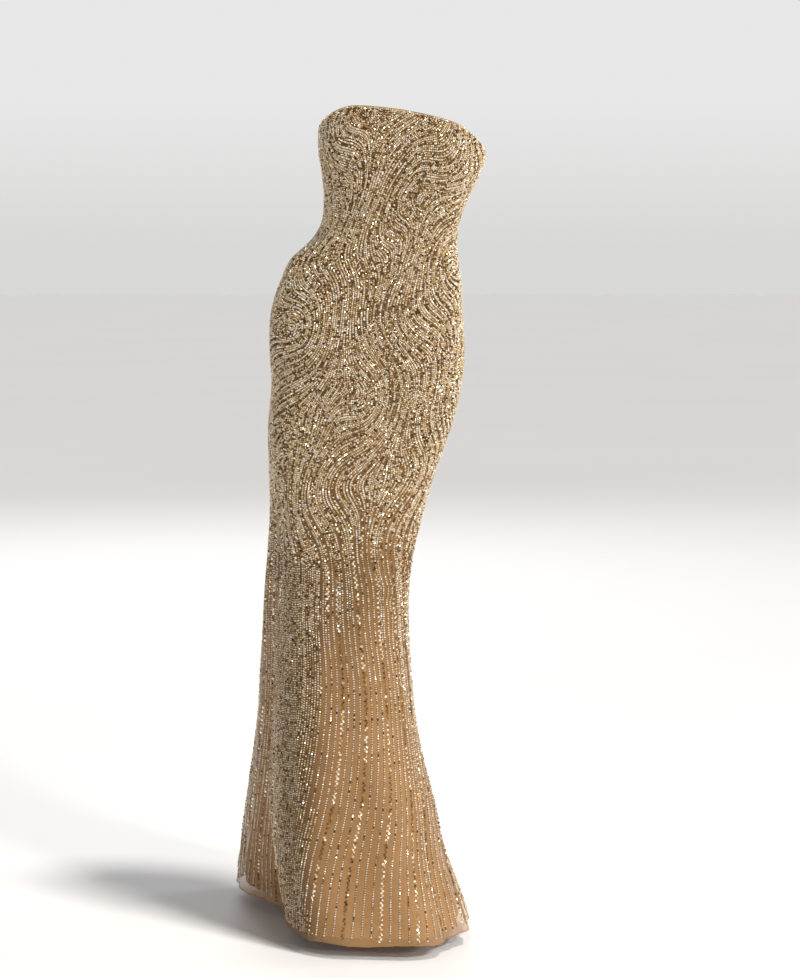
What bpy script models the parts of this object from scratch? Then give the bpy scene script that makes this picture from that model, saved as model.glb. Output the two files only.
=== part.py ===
"""A strapless column gown in the shape it takes when worn, with a hip out to one side and a stride at the hem.

The beaded shell is a front panel and two back panels, joined at the side seams and the centre back. A plain
lining hangs inside it, and a concealed zip closes the centre back. Lengths in the tables are millimetres, with
heights measured up from the hem. -Y is the front, and left and right are as seen from the front.
The origin is inside the bodice, level with the bust, where the gown is held up.
"""

from collections import namedtuple

import bmesh
import bpy
import numpy as np
from mathutils import Matrix, Vector

MM = 0.001

# Driving sizes, in millimetres.
HOLD_HEIGHT = 1278.0  # from the hem up to the bust line, where the origin lies
FRONT_LENGTH = 1351.0  # from the hem up to the middle of the top edge
TOP_TILT = 0.16  # how much the top edge falls for each millimetre towards +X
SHELL_WALL = 1.5  # beaded net with its backing
LINING_WALL = 1.0
SEAM_GAP = 0.5  # between the edges of two panels, before the wall is given its thickness
LAYER_GAP = 0.35  # between two layers that are sewn together
SIDE_SEAM = 0.25  # share of the way round from the centre front to a side seam
CENTRE_BACK = 0.5

# Mesh fineness.
RING_POINTS = 720
LEVEL_STEP = 5.0
LOWEST_LEVEL = -40.0
HIGHEST_LEVEL = 1440.0
PANEL_ROWS = 35
FRONT_COLUMNS = 36
BACK_COLUMNS = 15
LINING_FRONT_COLUMNS = 18
LINING_BACK_COLUMNS = 16
ROW_CROWDING = 0.4  # how much closer together the mesh rows lie at the top than on average

# The box that each level section fills, the share of the knee's and the hem's plan in its outline, and how far
# the centre front is turned from straight ahead, in degrees, where the outline is still the plain oval.
Section = namedtuple("Section", "height left right front back knee_plan hem_plan turn")
SECTIONS = (
    Section(-40, -303, 130, -226, 330, 0.00, 1.00, 0),
    Section(0, -298, 119, -217, 318, 0.00, 1.00, 0),
    Section(61, -290, 98, -205, 292, 0.12, 0.88, 0),
    Section(132, -277, 73, -192, 260, 0.28, 0.72, 0),
    Section(202, -263, 58, -180, 230, 0.44, 0.56, 0),
    Section(273, -251, 40, -169, 202, 0.60, 0.40, 0),
    Section(344, -242, 26, -159, 176, 0.76, 0.24, 0),
    Section(415, -237, 19, -150, 152, 0.90, 0.10, 0),
    Section(481, -232, 15, -143, 134, 1.00, 0.00, 0),
    Section(552, -228, 14, -138, 122, 1.00, 0.00, 0),
    Section(622, -222, 22, -130, 115, 0.90, 0.00, -4),
    Section(688, -218, 38, -121, 112, 0.65, 0.00, -4),
    Section(759, -219, 59, -113, 112, 0.30, 0.00, -4),
    Section(830, -220, 85, -107, 115, 0.08, 0.00, -3),
    Section(901, -214, 102, -103, 120, 0.00, 0.00, -3),
    Section(966, -217, 107, -101, 123, 0.00, 0.00, -2),
    Section(1022, -214, 103, -99, 118, 0.00, 0.00, -1),
    Section(1073, -198, 101, -97, 104, 0.00, 0.00, 0),
    Section(1108, -181, 96, -94, 91, 0.00, 0.00, 0),
    Section(1144, -144, 94, -91, 80, 0.00, 0.00, 0),
    Section(1169, -131, 98, -89, 75, 0.00, 0.00, 0),
    Section(1194, -126, 106, -89, 73, 0.00, 0.00, 0),
    Section(1225, -126, 120, -93, 75, 0.00, 0.00, 0),
    Section(1255, -129, 134, -102, 81, 0.00, 0.00, 0),
    Section(1285, -134, 143, -107, 88, 0.00, 0.00, 0),
    Section(1321, -134, 143, -105, 93, 0.00, 0.00, 0),
    Section(1361, -134, 143, -98, 96, 0.00, 0.00, 0),
    Section(1417, -134, 143, -88, 97, 0.00, 0.00, 0),
    Section(1457, -134, 143, -82, 97, 0.00, 0.00, 0),
)
OVAL_SQUARENESS = 2.25  # 2 is an ellipse

# Outlines seen from above, as points that a smooth closed curve runs through, from the centre front round by +X.
# The hem's has the deep fold at which the forward half turns back to the trailing half.
PlanPoint = namedtuple("PlanPoint", "x y")
KNEE_PLAN = (
    PlanPoint(-114, -134),
    PlanPoint(-62, -136),
    PlanPoint(-18, -112),
    PlanPoint(6, -66),
    PlanPoint(8, -14),
    PlanPoint(-6, 48),
    PlanPoint(-46, 100),
    PlanPoint(-108, 122),
    PlanPoint(-172, 110),
    PlanPoint(-222, 70),
    PlanPoint(-238, 14),
    PlanPoint(-217, -32),
    PlanPoint(-196, -82),
    PlanPoint(-164, -118),
)
HEM_PLAN = (
    PlanPoint(-66, -208),
    PlanPoint(-20, -213),
    PlanPoint(26, -217),
    PlanPoint(60, -203),
    PlanPoint(86, -163),
    PlanPoint(107, -112),
    PlanPoint(119, -52),
    PlanPoint(113, 36),
    PlanPoint(82, 130),
    PlanPoint(34, 216),
    PlanPoint(-42, 278),
    PlanPoint(-124, 312),
    PlanPoint(-206, 318),
    PlanPoint(-274, 300),
    PlanPoint(-298, 252),
    PlanPoint(-284, 196),
    PlanPoint(-256, 140),
    PlanPoint(-227, 90),
    PlanPoint(-202, 48),
    PlanPoint(-193, 0),
    PlanPoint(-189, -68),
    PlanPoint(-169, -126),
    PlanPoint(-146, -176),
    PlanPoint(-110, -200),
)

# Rounded fullness laid out from the sections: the cut of the cups, the seat, and the forward side at knee level.
# side is the share of the way round from the centre front, positive towards +X.
Fullness = namedtuple("Fullness", "height side tall wide out")
FULLNESSES = (
    Fullness(1282, -0.090, 56, 0.070, 13),
    Fullness(1262, 0.090, 56, 0.070, 13),
    Fullness(976, -0.410, 95, 0.075, 9),
    Fullness(966, 0.400, 95, 0.075, 9),
    Fullness(592, 0.085, 75, 0.070, 11),
    Fullness(658, -0.020, 70, 0.060, -5),
)

# Soft folds that run down the cloth: side is where the fold's line crosses its middle height, and slant is how
# far it moves round, as a share, for each metre of height. out below 0 is a valley.
Fold = namedtuple("Fold", "low high side slant wide out")
FOLDS = (
    Fold(-40, 420, 0.147, 0.180, 0.012, -9),
    Fold(-40, 340, 0.178, 0.160, 0.011, 7),
    Fold(-40, 300, 0.208, 0.120, 0.012, -8),
    Fold(-40, 380, 0.300, 0.000, 0.016, -11),
    Fold(-40, 330, 0.345, 0.000, 0.015, 9),
    Fold(-40, 420, 0.395, 0.000, 0.017, -12),
    Fold(-40, 360, 0.450, 0.000, 0.016, 9),
    Fold(-40, 430, -0.465, 0.000, 0.017, -12),
    Fold(-40, 340, -0.410, 0.000, 0.015, 9),
    Fold(-40, 400, -0.350, 0.000, 0.016, -11),
    Fold(-40, 300, -0.290, -0.030, 0.012, 7),
    Fold(-40, 310, -0.205, -0.020, 0.011, -6),
    Fold(506, 668, 0.140, 0.450, 0.012, -4),
    Fold(526, 708, 0.185, 0.500, 0.012, -5),
    Fold(1144, 1230, -0.215, 0.500, 0.012, -3),
    Fold(1123, 1204, -0.255, 0.350, 0.012, -3),
)

# How far the top edge lies below its middle point, by the way round from the centre front (0.25 is the side).
EdgeDrop = namedtuple("EdgeDrop", "side drop")
TOP_EDGE = (
    EdgeDrop(0.000, 0),
    EdgeDrop(0.060, 2),
    EdgeDrop(0.090, 4),
    EdgeDrop(0.120, 8),
    EdgeDrop(0.150, 17),
    EdgeDrop(0.180, 28),
    EdgeDrop(0.210, 40),
    EdgeDrop(0.250, 52),
    EdgeDrop(0.310, 66),
    EdgeDrop(0.400, 70),
    EdgeDrop(0.500, 68),
)
TOP_EDGE_REACH = 330.0  # below the top edge, the height over which the mesh rows level out

# The lining: how far inside the shell it hangs, and how much less of the folds it takes, by height.
LiningRow = namedtuple("LiningRow", "height inset fold_share")
LINING = (
    LiningRow(-40, 17.0, 0.35),
    LiningRow(150, 13.0, 0.45),
    LiningRow(350, 8.0, 0.70),
    LiningRow(540, 4.0, 1.0),
    LiningRow(900, 2.6, 1.0),
    LiningRow(1440, 2.6, 1.0),
)
LINING_JOIN_REACH = 45.0  # below the top edge, the height over which the lining draws in to the seam
LINING_HEM_LIFT = 8.0
LINING_TOP_DROP = 3.0

# The concealed zip at the centre back. The slider's sizes are across, outwards and along the zip.
ZIP_LENGTH = 420.0
ZIP_TAPE_WIDTH = 22.0
ZIP_TAPE_WALL = 0.8
ZIP_TAPE_ROWS = 18
ZIP_TAPE_GAP = 0.7  # between the panels' inner side and the tape
ZIP_SLOT_SIDE_GAP = 0.5  # between the tape and the lining's cut edge on each side of it
ZIP_SLOT_BELOW = 2.0
ZIP_SLOT_DEPTH = 20.0
SLIDER_SIZE = (4.6, 3.2, 9.0)
SLIDER_EDGE_ROUNDING = 0.5
SLIDER_GAP = 0.35
SLIDER_BELOW_EDGE = 7.5  # from the top edge to the slider's middle
NOTCH_WIDTH = 6.4
NOTCH_DEPTH = 14.0
CUT_THROUGH = 30.0  # longer than any wall that a cutter passes through
EAR_WIDTH = 1.0
EAR_SPAN = 4.4
EAR_HEIGHT = 2.4
EAR_SUNK = 0.4  # how far an ear's foot reaches into the slider's body
BAIL_RADIUS = 0.6
BAIL_OUT = 2.3  # from the slider's outer face to the middle of its cross bar
PULL_BORE_RADIUS = 1.0
PULL_BARREL_RADIUS = 1.85
PULL_BARREL_LENGTH = 1.8
PULL_WALL = 1.1
PULL_LENGTH = 21.0
PULL_WIDTH = 5.2
PULL_STEPS = 12
ROUND_SIDES = 20

SHELL_COLOUR = (0.42, 0.26, 0.11, 1.0)
LINING_COLOUR = (0.47, 0.27, 0.13, 1.0)
ZIP_COLOUR = (0.36, 0.22, 0.11, 1.0)
METAL_COLOUR = (0.62, 0.45, 0.24, 1.0)


def smooth_curve(knots, values, at):
    """A smooth curve through the values at rising knots, read at the places given."""
    knots, values = np.asarray(knots, float), np.asarray(values, float)
    steps = np.diff(knots)
    slopes = np.diff(values) / steps
    tangents = np.empty_like(values)
    tangents[0], tangents[-1] = slopes[0], slopes[-1]
    tangents[1:-1] = (slopes[:-1] * steps[1:] + slopes[1:] * steps[:-1]) / (steps[:-1] + steps[1:])
    at = np.clip(at, knots[0], knots[-1])
    i = np.clip(np.searchsorted(knots, at, side="right") - 1, 0, len(steps) - 1)
    step = steps[i]
    u = (at - knots[i]) / step
    start = (1 + 2 * u) * (1 - u) ** 2 * values[i] + u * (1 - u) ** 2 * step * tangents[i]
    end = u * u * (3 - 2 * u) * values[i + 1] + u * u * (u - 1) * step * tangents[i + 1]
    return start + end


def from_table(rows, column, by, at):
    """One named column of a table, read smoothly against another."""
    return smooth_curve([getattr(r, by) for r in rows], [getattr(r, column) for r in rows], at)


def smooth_step(x):
    x = np.clip(x, 0.0, 1.0)
    return x * x * (3 - 2 * x)


def evenly_round(outline):
    """The closed outline's points, moved to lie evenly along it, from the same first point."""
    closed = np.vstack([outline, outline[:1]])
    along = np.concatenate([[0.0], np.cumsum(np.linalg.norm(np.diff(closed, axis=0), axis=1))])
    at = np.linspace(0.0, along[-1], RING_POINTS, endpoint=False)
    return np.stack([np.interp(at, along, closed[:, k]) for k in range(2)], axis=1)


def in_unit_box(outline):
    """The outline, moved and stretched to reach from -1 to 1 both ways."""
    low, high = outline.min(0), outline.max(0)
    return (outline - (low + high) / 2) / ((high - low) / 2)


def plan_outline(plan):
    """A smooth closed curve through a plan's points, as a unit outline."""
    points = np.array(plan, float)
    count = len(points)
    around = np.vstack([points[-3:], points, points[:3]])
    chords = np.linalg.norm(np.diff(around, axis=0), axis=1) ** 0.5
    knots = np.concatenate([[0.0], np.cumsum(chords)])
    at = np.linspace(knots[3], knots[3 + count], 4 * RING_POINTS, endpoint=False)
    curve = np.stack([smooth_curve(knots, around[:, k], at) for k in range(2)], axis=1)
    return in_unit_box(evenly_round(curve))


def oval_outline(turn):
    """A slightly squared oval as a unit outline, starting at a centre front turned by that many degrees."""
    angle = np.radians(turn - 90) + np.linspace(0, 2 * np.pi, 4 * RING_POINTS, endpoint=False)
    power = 2 / OVAL_SQUARENESS
    c, s = np.cos(angle), np.sin(angle)
    return evenly_round(np.stack([np.sign(c) * np.abs(c) ** power, np.sign(s) * np.abs(s) ** power], axis=1))


def level_ring(height, knee, hem):
    """The section's outline at one height, in millimetres, evenly spaced from the centre front."""
    read = {name: float(from_table(SECTIONS, name, "height", height)) for name in Section._fields[1:]}
    knee_share, hem_share = max(read["knee_plan"], 0.0), max(read["hem_plan"], 0.0)
    oval_share = max(1.0 - knee_share - hem_share, 0.0)
    unit = oval_share * oval_outline(read["turn"]) + knee_share * knee + hem_share * hem
    unit = in_unit_box(unit)
    middle = np.array([read["left"] + read["right"], read["front"] + read["back"]]) / 2
    half = np.array([read["right"] - read["left"], read["back"] - read["front"]]) / 2
    return evenly_round(middle + unit * half)


def around_distance(side, centre):
    """The shorter way round between two places, as a share of the whole way."""
    return (side - centre + 0.5) % 1.0 - 0.5


def fullness_at(side, height):
    """How far the cups, seat and knee stand out at these places."""
    out = np.zeros(np.broadcast(side, height).shape)
    for f in FULLNESSES:
        across = around_distance(side, f.side) / f.wide
        up = (height - f.height) / f.tall
        out += f.out * np.exp(-(across**2 + up**2))
    return out


def folds_at(side, height):
    """How far the soft folds stand out or in at these places."""
    out = np.zeros(np.broadcast(side, height).shape)
    for f in FOLDS:
        middle = (f.low + f.high) / 2
        across = around_distance(side, f.side + f.slant * (height - middle) * MM) / f.wide
        open_below = f.low <= LOWEST_LEVEL
        share = (height - f.low) / (f.high - f.low)
        ends = smooth_step(1 - share) if open_below else np.sin(np.pi * np.clip(share, 0, 1)) ** 2
        out += f.out * np.exp(-(across**2)) * ends
    return out


def outward(rings):
    """The level, outward direction at each point of each ring."""
    along = np.roll(rings, -1, axis=1) - np.roll(rings, 1, axis=1)
    turned = np.stack([along[..., 1], -along[..., 0]], axis=-1)
    return turned / np.linalg.norm(turned, axis=-1, keepdims=True)


def inside(rings, distance):
    """The rings moved inwards, so that their surface lies this far inside the first, measured square to it."""
    rise = np.gradient(rings, LEVEL_STEP, axis=0)
    out = outward(rings)
    lean = np.sqrt(1 + (rise * out).sum(-1) ** 2)
    return rings - out * (distance * lean)[..., None]


LEVELS = np.arange(LOWEST_LEVEL, HIGHEST_LEVEL + LEVEL_STEP / 2, LEVEL_STEP)
SIDES = np.arange(RING_POINTS) / RING_POINTS
KNEE_OUTLINE, HEM_OUTLINE = plan_outline(KNEE_PLAN), plan_outline(HEM_PLAN)
PLAIN_RINGS = np.array([level_ring(h, KNEE_OUTLINE, HEM_OUTLINE) for h in LEVELS])
FULL = fullness_at(SIDES[None, :], LEVELS[:, None])
FOLDED = folds_at(SIDES[None, :], LEVELS[:, None])
SHELL_RINGS = PLAIN_RINGS + outward(PLAIN_RINGS) * (FULL + FOLDED)[..., None]
ROUND_LENGTH = np.linalg.norm(np.roll(SHELL_RINGS, -1, axis=1) - SHELL_RINGS, axis=2).sum(axis=1)


def on_rings(rings, side, height):
    """Points of a ringed surface at shares round it and heights, in metres from the origin."""
    side, height = np.broadcast_arrays(np.asarray(side, float), np.asarray(height, float))
    across = (side % 1.0) * RING_POINTS
    up = np.clip((height - LOWEST_LEVEL) / LEVEL_STEP, 0, len(LEVELS) - 1.001)
    i, j = np.floor(across).astype(int), np.floor(up).astype(int)
    a, b = (across - i)[..., None], (up - j)[..., None]
    i, after = i % RING_POINTS, (i + 1) % RING_POINTS
    low = rings[j, i] * (1 - a) + rings[j, after] * a
    high = rings[j + 1, i] * (1 - a) + rings[j + 1, after] * a
    flat = low * (1 - b) + high * b
    return np.concatenate([flat, (height - HOLD_HEIGHT)[..., None]], axis=-1) * MM


def round_length(height):
    return np.interp(height, LEVELS, ROUND_LENGTH)


def top_edge(side):
    """The top edge's height at each share of the way round."""
    drop = from_table(TOP_EDGE, "drop", "side", np.abs(around_distance(side, 0.0)))
    height = np.full(np.shape(side), FRONT_LENGTH - 30.0)
    for _ in range(4):  # the fall towards +X depends on where the edge lies
        x = on_rings(SHELL_RINGS, side, height)[..., 0] / MM
        height = FRONT_LENGTH - drop - TOP_TILT * x
    return height


def row_heights(side, share, hem_lift=0.0, top_drop=0.0):
    """Heights of mesh points at a share of the way from hem to top, level but near the top edge."""
    level = hem_lift + share * (FRONT_LENGTH - top_drop - hem_lift)
    near_top = smooth_step((level - FRONT_LENGTH + TOP_EDGE_REACH) / TOP_EDGE_REACH)
    return level + (top_edge(side) - FRONT_LENGTH) * near_top


def lining_rings():
    """The lining's outer surface: inside the shell, in softer folds, and close against it at the top edge."""
    fold_share = from_table(LINING, "fold_share", "height", LEVELS)[:, None]
    inset = from_table(LINING, "inset", "height", LEVELS)[:, None]
    below_edge = top_edge(SIDES)[None, :] - LEVELS[:, None]
    hanging = smooth_step(below_edge / LINING_JOIN_REACH)
    inset = LAYER_GAP + (inset - LAYER_GAP) * hanging
    eased = PLAIN_RINGS + outward(PLAIN_RINGS) * (FULL + FOLDED * fold_share)[..., None]
    return inside(eased, SHELL_WALL + inset)


LINING_RINGS = lining_rings()
TAPE_RINGS = inside(SHELL_RINGS, SHELL_WALL + ZIP_TAPE_GAP)

# One layer of the gown: its outer surface, wall, and how far it stops short of the hem and the top edge.
Layer = namedtuple("Layer", "rings wall hem_lift top_drop")
SHELL_LAYER = Layer(SHELL_RINGS, SHELL_WALL, 0.0, 0.0)
LINING_LAYER = Layer(LINING_RINGS, LINING_WALL, LINING_HEM_LIFT, LINING_TOP_DROP)


def material(name, colour, roughness, metallic=0.0):
    made = bpy.data.materials.new(name)
    made.use_nodes = True
    shader = made.node_tree.nodes["Principled BSDF"]
    shader.inputs["Base Color"].default_value = colour
    shader.inputs["Roughness"].default_value = roughness
    shader.inputs["Metallic"].default_value = metallic
    made.diffuse_color = colour
    return made


def add_object(name, mesh, collection, finish, matrix=None):
    made = bpy.data.objects.new(name, mesh)
    made.data.materials.append(finish)
    if matrix is not None:
        made.matrix_world = matrix
    collection.objects.link(made)
    return made


def finished_mesh(name, form):
    mesh = bpy.data.meshes.new(name)
    form.to_mesh(mesh)
    form.free()
    return mesh


def loft(name, points):
    """A sheet of quads over a grid of points, rows by columns, facing outwards where columns run towards +X."""
    rows, columns = points.shape[:2]
    form = bmesh.new()
    grid = [[form.verts.new(points[r, c]) for c in range(columns)] for r in range(rows)]
    for r in range(rows - 1):
        for c in range(columns - 1):
            form.faces.new([grid[r][c], grid[r][c + 1], grid[r + 1][c + 1], grid[r + 1][c]])
    return finished_mesh(name, form)


def thicken(made, wall):
    """Gives a sheet its wall, on the inner side."""
    solid = made.modifiers.new("wall", "SOLIDIFY")
    solid.thickness = wall * MM
    solid.offset = -1.0


def boolean(made, other, operation):
    """Cuts another object from this one, or joins it on."""
    step = made.modifiers.new(operation.lower(), "BOOLEAN")
    step.operation = operation
    step.solver = "EXACT"
    step.object = other


def panel(name, layer, start, end, columns, collection, finish):
    """One cut piece of cloth, from one seam round to the next, as a wall."""
    row = np.linspace(0, 1, PANEL_ROWS + 1)[:, None]
    share = row * (1 + ROW_CROWDING - ROW_CROWDING * row)
    side = np.broadcast_to(np.linspace(start, end, columns + 1), (PANEL_ROWS + 1, columns + 1))
    height = row_heights(side, share, layer.hem_lift, layer.top_drop)
    half_gap = SEAM_GAP / 2 / round_length(height)
    side = side + half_gap * np.linspace(1, -1, columns + 1)
    made = add_object(name, loft(name, on_rings(layer.rings, side, height)), collection, finish)
    thicken(made, layer.wall)
    return made


def back_edge():
    return float(top_edge(np.array([CENTRE_BACK]))[0])


def back_frame(below_edge, inset):
    """A matrix on the centre back, this far below the top edge: X across, Y outwards and Z up along the seam."""
    middle = back_edge() - below_edge
    reach = SLIDER_SIZE[2] / 2
    low, place, high = on_rings(SHELL_RINGS, np.full(3, CENTRE_BACK), middle + reach * np.array([-1, 0, 1]))
    beside = reach / float(round_length(middle))
    right, left = on_rings(SHELL_RINGS, CENTRE_BACK + beside * np.array([-1, 1]), np.full(2, middle))
    up = Vector(high - low).normalized()
    across = Vector(right - left)
    across = (across - across.dot(up) * up).normalized()
    out = up.cross(across).normalized()
    frame = Matrix((across, out, up)).transposed().to_4x4()
    frame.translation = Vector(place) - out * inset * MM
    return frame


def shifted(frame, across=0.0, out=0.0, up=0.0):
    """The frame, moved along its own directions by millimetres."""
    return frame @ Matrix.Translation(Vector((across, out, up)) * MM)


def plumb(frame):
    """The frame, turned about its X so that its Z is as upright as it can be."""
    across = frame.col[0].to_3d()
    up = Vector((0, 0, 1)) - across * across.z
    up.normalize()
    turned = Matrix((across, up.cross(across), up)).transposed().to_4x4()
    turned.translation = frame.translation
    return turned


def box_mesh(name, size, rounding=0.0):
    """A box of millimetre sizes about its frame's middle, with its edges rounded if asked."""
    form = bmesh.new()
    bmesh.ops.create_cube(form, size=MM, matrix=Matrix.Diagonal((*size, 1.0)))
    if rounding:
        bmesh.ops.bevel(form, geom=form.edges[:], offset=rounding * MM, segments=2, affect="EDGES")
    return finished_mesh(name, form)


def bar_mesh(name, radius, length):
    """A round bar along X, in millimetres."""
    form = bmesh.new()
    bmesh.ops.create_cone(
        form,
        cap_ends=True,
        segments=ROUND_SIDES,
        radius1=radius * MM,
        radius2=radius * MM,
        depth=length * MM,
        matrix=Matrix.Rotation(np.pi / 2, 4, "Y"),
    )
    return finished_mesh(name, form)


def tool(name, mesh, frame, tools):
    """A shape that is cut from a piece or joined onto it, and isn't a piece of the gown itself."""
    made = bpy.data.objects.new(name, mesh)
    made.matrix_world = frame
    made.hide_render = True
    made.display_type = "WIRE"
    tools.objects.link(made)
    return made


def centre_back_strip(name, rings, half_width, low, high):
    """A sheet up the centre back, two columns wide."""
    heights = np.linspace(low, high, ZIP_TAPE_ROWS + 1)[:, None]
    side = CENTRE_BACK + np.linspace(-1, 1, 3) * half_width / round_length(heights)
    return loft(name, on_rings(rings, side, np.broadcast_to(heights, side.shape)))


def zip_tape(collection, finish):
    """The tape behind the centre back seam, sewn to the panels' inner side."""
    edge = back_edge()
    strip = centre_back_strip("zip_tape", TAPE_RINGS, ZIP_TAPE_WIDTH / 2, edge - ZIP_LENGTH, edge - LINING_TOP_DROP)
    made = add_object("zip_tape", strip, collection, finish)
    thicken(made, ZIP_TAPE_WALL)


def zip_slot(tools):
    """What is cut from the lining so that it opens beside the tape."""
    low, high = back_edge() - ZIP_LENGTH - ZIP_SLOT_BELOW, back_edge() + ZIP_SLOT_DEPTH
    half = ZIP_TAPE_WIDTH / 2 + ZIP_SLOT_SIDE_GAP
    strip = centre_back_strip("zip_slot", SHELL_RINGS, half, low, high)
    made = tool("zip_slot", strip, Matrix.Identity(4), tools)
    thicken(made, ZIP_SLOT_DEPTH)
    return made


def zip_slider(frame, collection, tools, finish):
    """The slider's body, with two ears and the cross bar that the pull turns on."""
    body = box_mesh("zip_slider", SLIDER_SIZE, SLIDER_EDGE_ROUNDING)
    made = add_object("zip_slider", body, collection, finish, frame)
    face = SLIDER_SIZE[1] / 2
    reach = EAR_SUNK + BAIL_OUT + EAR_HEIGHT / 2
    for name, end in (("ear_left", -1), ("ear_right", 1)):
        place = shifted(frame, across=end * (EAR_SPAN - EAR_WIDTH) / 2, out=face - EAR_SUNK + reach / 2)
        boolean(made, tool(name, box_mesh(name, (EAR_WIDTH, reach, EAR_HEIGHT)), place, tools), "UNION")
    bar = bar_mesh("bail", BAIL_RADIUS, EAR_SPAN - EAR_WIDTH)
    boolean(made, tool("bail", bar, shifted(frame, out=face + BAIL_OUT), tools), "UNION")


def zip_pull(frame, collection, tools, finish):
    """The drop-shaped pull, hanging outside the seam, with a barrel that turns on the slider's bar."""
    down = np.linspace(0, PULL_LENGTH, PULL_STEPS + 1)
    share = down / PULL_LENGTH
    half = (PULL_BARREL_LENGTH + (PULL_WIDTH - PULL_BARREL_LENGTH) * smooth_step((share - 0.1) / 0.6)) / 2
    half = half * np.sqrt(1 - (smooth_step((share - 0.75) / 0.25) * 0.97) ** 2)
    outline = list(zip(half, down, strict=True)) + list(zip(-half[::-1], down[::-1], strict=True))
    form = bmesh.new()
    face = form.faces.new([form.verts.new((x * MM, PULL_WALL / 2 * MM, -z * MM)) for x, z in outline])
    made = bmesh.ops.extrude_face_region(form, geom=[face])
    moved = [v for v in made["geom"] if isinstance(v, bmesh.types.BMVert)]
    bmesh.ops.translate(form, verts=moved, vec=(0, -PULL_WALL * MM, 0))
    bmesh.ops.recalc_face_normals(form, faces=form.faces[:])
    pull = add_object("zip_pull", finished_mesh("zip_pull", form), collection, finish, frame)
    barrel = bar_mesh("pull_barrel", PULL_BARREL_RADIUS, PULL_BARREL_LENGTH)
    boolean(pull, tool("pull_barrel", barrel, frame, tools), "UNION")
    bore = bar_mesh("pull_bore", PULL_BORE_RADIUS, PULL_WIDTH)
    boolean(pull, tool("pull_bore", bore, frame, tools), "DIFFERENCE")


def build():
    for old in list(bpy.data.objects):
        bpy.data.objects.remove(old)
    gown = bpy.data.collections.new("column_gown")
    tools = bpy.data.collections.new("cutters")
    for made in (gown, tools):
        bpy.context.scene.collection.children.link(made)
    shell = material("beaded_net", SHELL_COLOUR, 0.45, 0.3)
    lining = material("lining", LINING_COLOUR, 0.6)
    tape = material("zip_tape", ZIP_COLOUR, 0.7)
    metal = material("zip_metal", METAL_COLOUR, 0.3, 1.0)

    other_side = 1 - SIDE_SEAM
    panel("front", SHELL_LAYER, -SIDE_SEAM, SIDE_SEAM, FRONT_COLUMNS, gown, shell)
    back_right = panel("back_right", SHELL_LAYER, SIDE_SEAM, CENTRE_BACK, BACK_COLUMNS, gown, shell)
    back_left = panel("back_left", SHELL_LAYER, CENTRE_BACK, other_side, BACK_COLUMNS, gown, shell)
    panel("lining_front", LINING_LAYER, -SIDE_SEAM, SIDE_SEAM, LINING_FRONT_COLUMNS, gown, lining)
    lining_back = panel("lining_back", LINING_LAYER, SIDE_SEAM, other_side, LINING_BACK_COLUMNS, gown, lining)
    boolean(lining_back, zip_slot(tools), "DIFFERENCE")
    zip_tape(gown, tape)

    half_slider = SLIDER_SIZE[1] / 2
    slider_frame = back_frame(SLIDER_BELOW_EDGE, SHELL_WALL + ZIP_TAPE_GAP - SLIDER_GAP - half_slider)
    notch = box_mesh("notch", (NOTCH_WIDTH, CUT_THROUGH, NOTCH_DEPTH * 2))
    notch_tool = tool("notch", notch, shifted(slider_frame, up=SLIDER_BELOW_EDGE), tools)
    for back in (back_left, back_right):
        boolean(back, notch_tool, "DIFFERENCE")
    zip_slider(slider_frame, gown, tools, metal)
    zip_pull(plumb(shifted(slider_frame, out=half_slider + BAIL_OUT)), gown, tools, metal)


build()
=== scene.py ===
from collections import namedtuple

import bpy
import numpy as np
from mathutils import Euler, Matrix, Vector
from mathutils.kdtree import KDTree


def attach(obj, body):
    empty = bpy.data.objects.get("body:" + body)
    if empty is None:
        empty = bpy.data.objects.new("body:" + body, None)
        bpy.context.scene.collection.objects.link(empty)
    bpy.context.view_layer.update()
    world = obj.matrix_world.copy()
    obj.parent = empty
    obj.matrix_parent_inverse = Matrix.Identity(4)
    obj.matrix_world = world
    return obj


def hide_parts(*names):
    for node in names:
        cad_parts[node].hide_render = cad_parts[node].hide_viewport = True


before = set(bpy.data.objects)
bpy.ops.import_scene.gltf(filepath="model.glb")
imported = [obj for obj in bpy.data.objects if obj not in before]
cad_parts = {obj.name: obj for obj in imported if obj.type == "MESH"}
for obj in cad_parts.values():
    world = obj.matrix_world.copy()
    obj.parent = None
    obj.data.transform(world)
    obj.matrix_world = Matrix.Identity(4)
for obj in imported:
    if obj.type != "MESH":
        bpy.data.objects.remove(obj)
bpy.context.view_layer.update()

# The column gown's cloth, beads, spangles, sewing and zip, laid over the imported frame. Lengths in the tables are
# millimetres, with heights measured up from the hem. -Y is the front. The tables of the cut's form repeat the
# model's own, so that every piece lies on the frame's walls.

MM = 0.001

# Driving sizes, in millimetres.
HOLD_HEIGHT = 1278.0  # from the hem up to the bust line, where the origin lies
FRONT_LENGTH = 1351.0  # from the hem up to the middle of the top edge
TOP_TILT = 0.16  # how much the top edge falls for each millimetre towards +X
SHELL_WALL = 1.5  # beaded net with its backing
LAYER_GAP = 0.35  # between two layers that are sewn together
SIDE_SEAM = 0.25  # share of the way round from the centre front to a side seam
CENTRE_BACK = 0.5

RING_POINTS = 720
LEVEL_STEP = 5.0
LOWEST_LEVEL = -40.0
HIGHEST_LEVEL = 1440.0


def table(kind, rows):
    """A table's rows with their columns named."""
    return [kind(*row) for row in rows]


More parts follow.
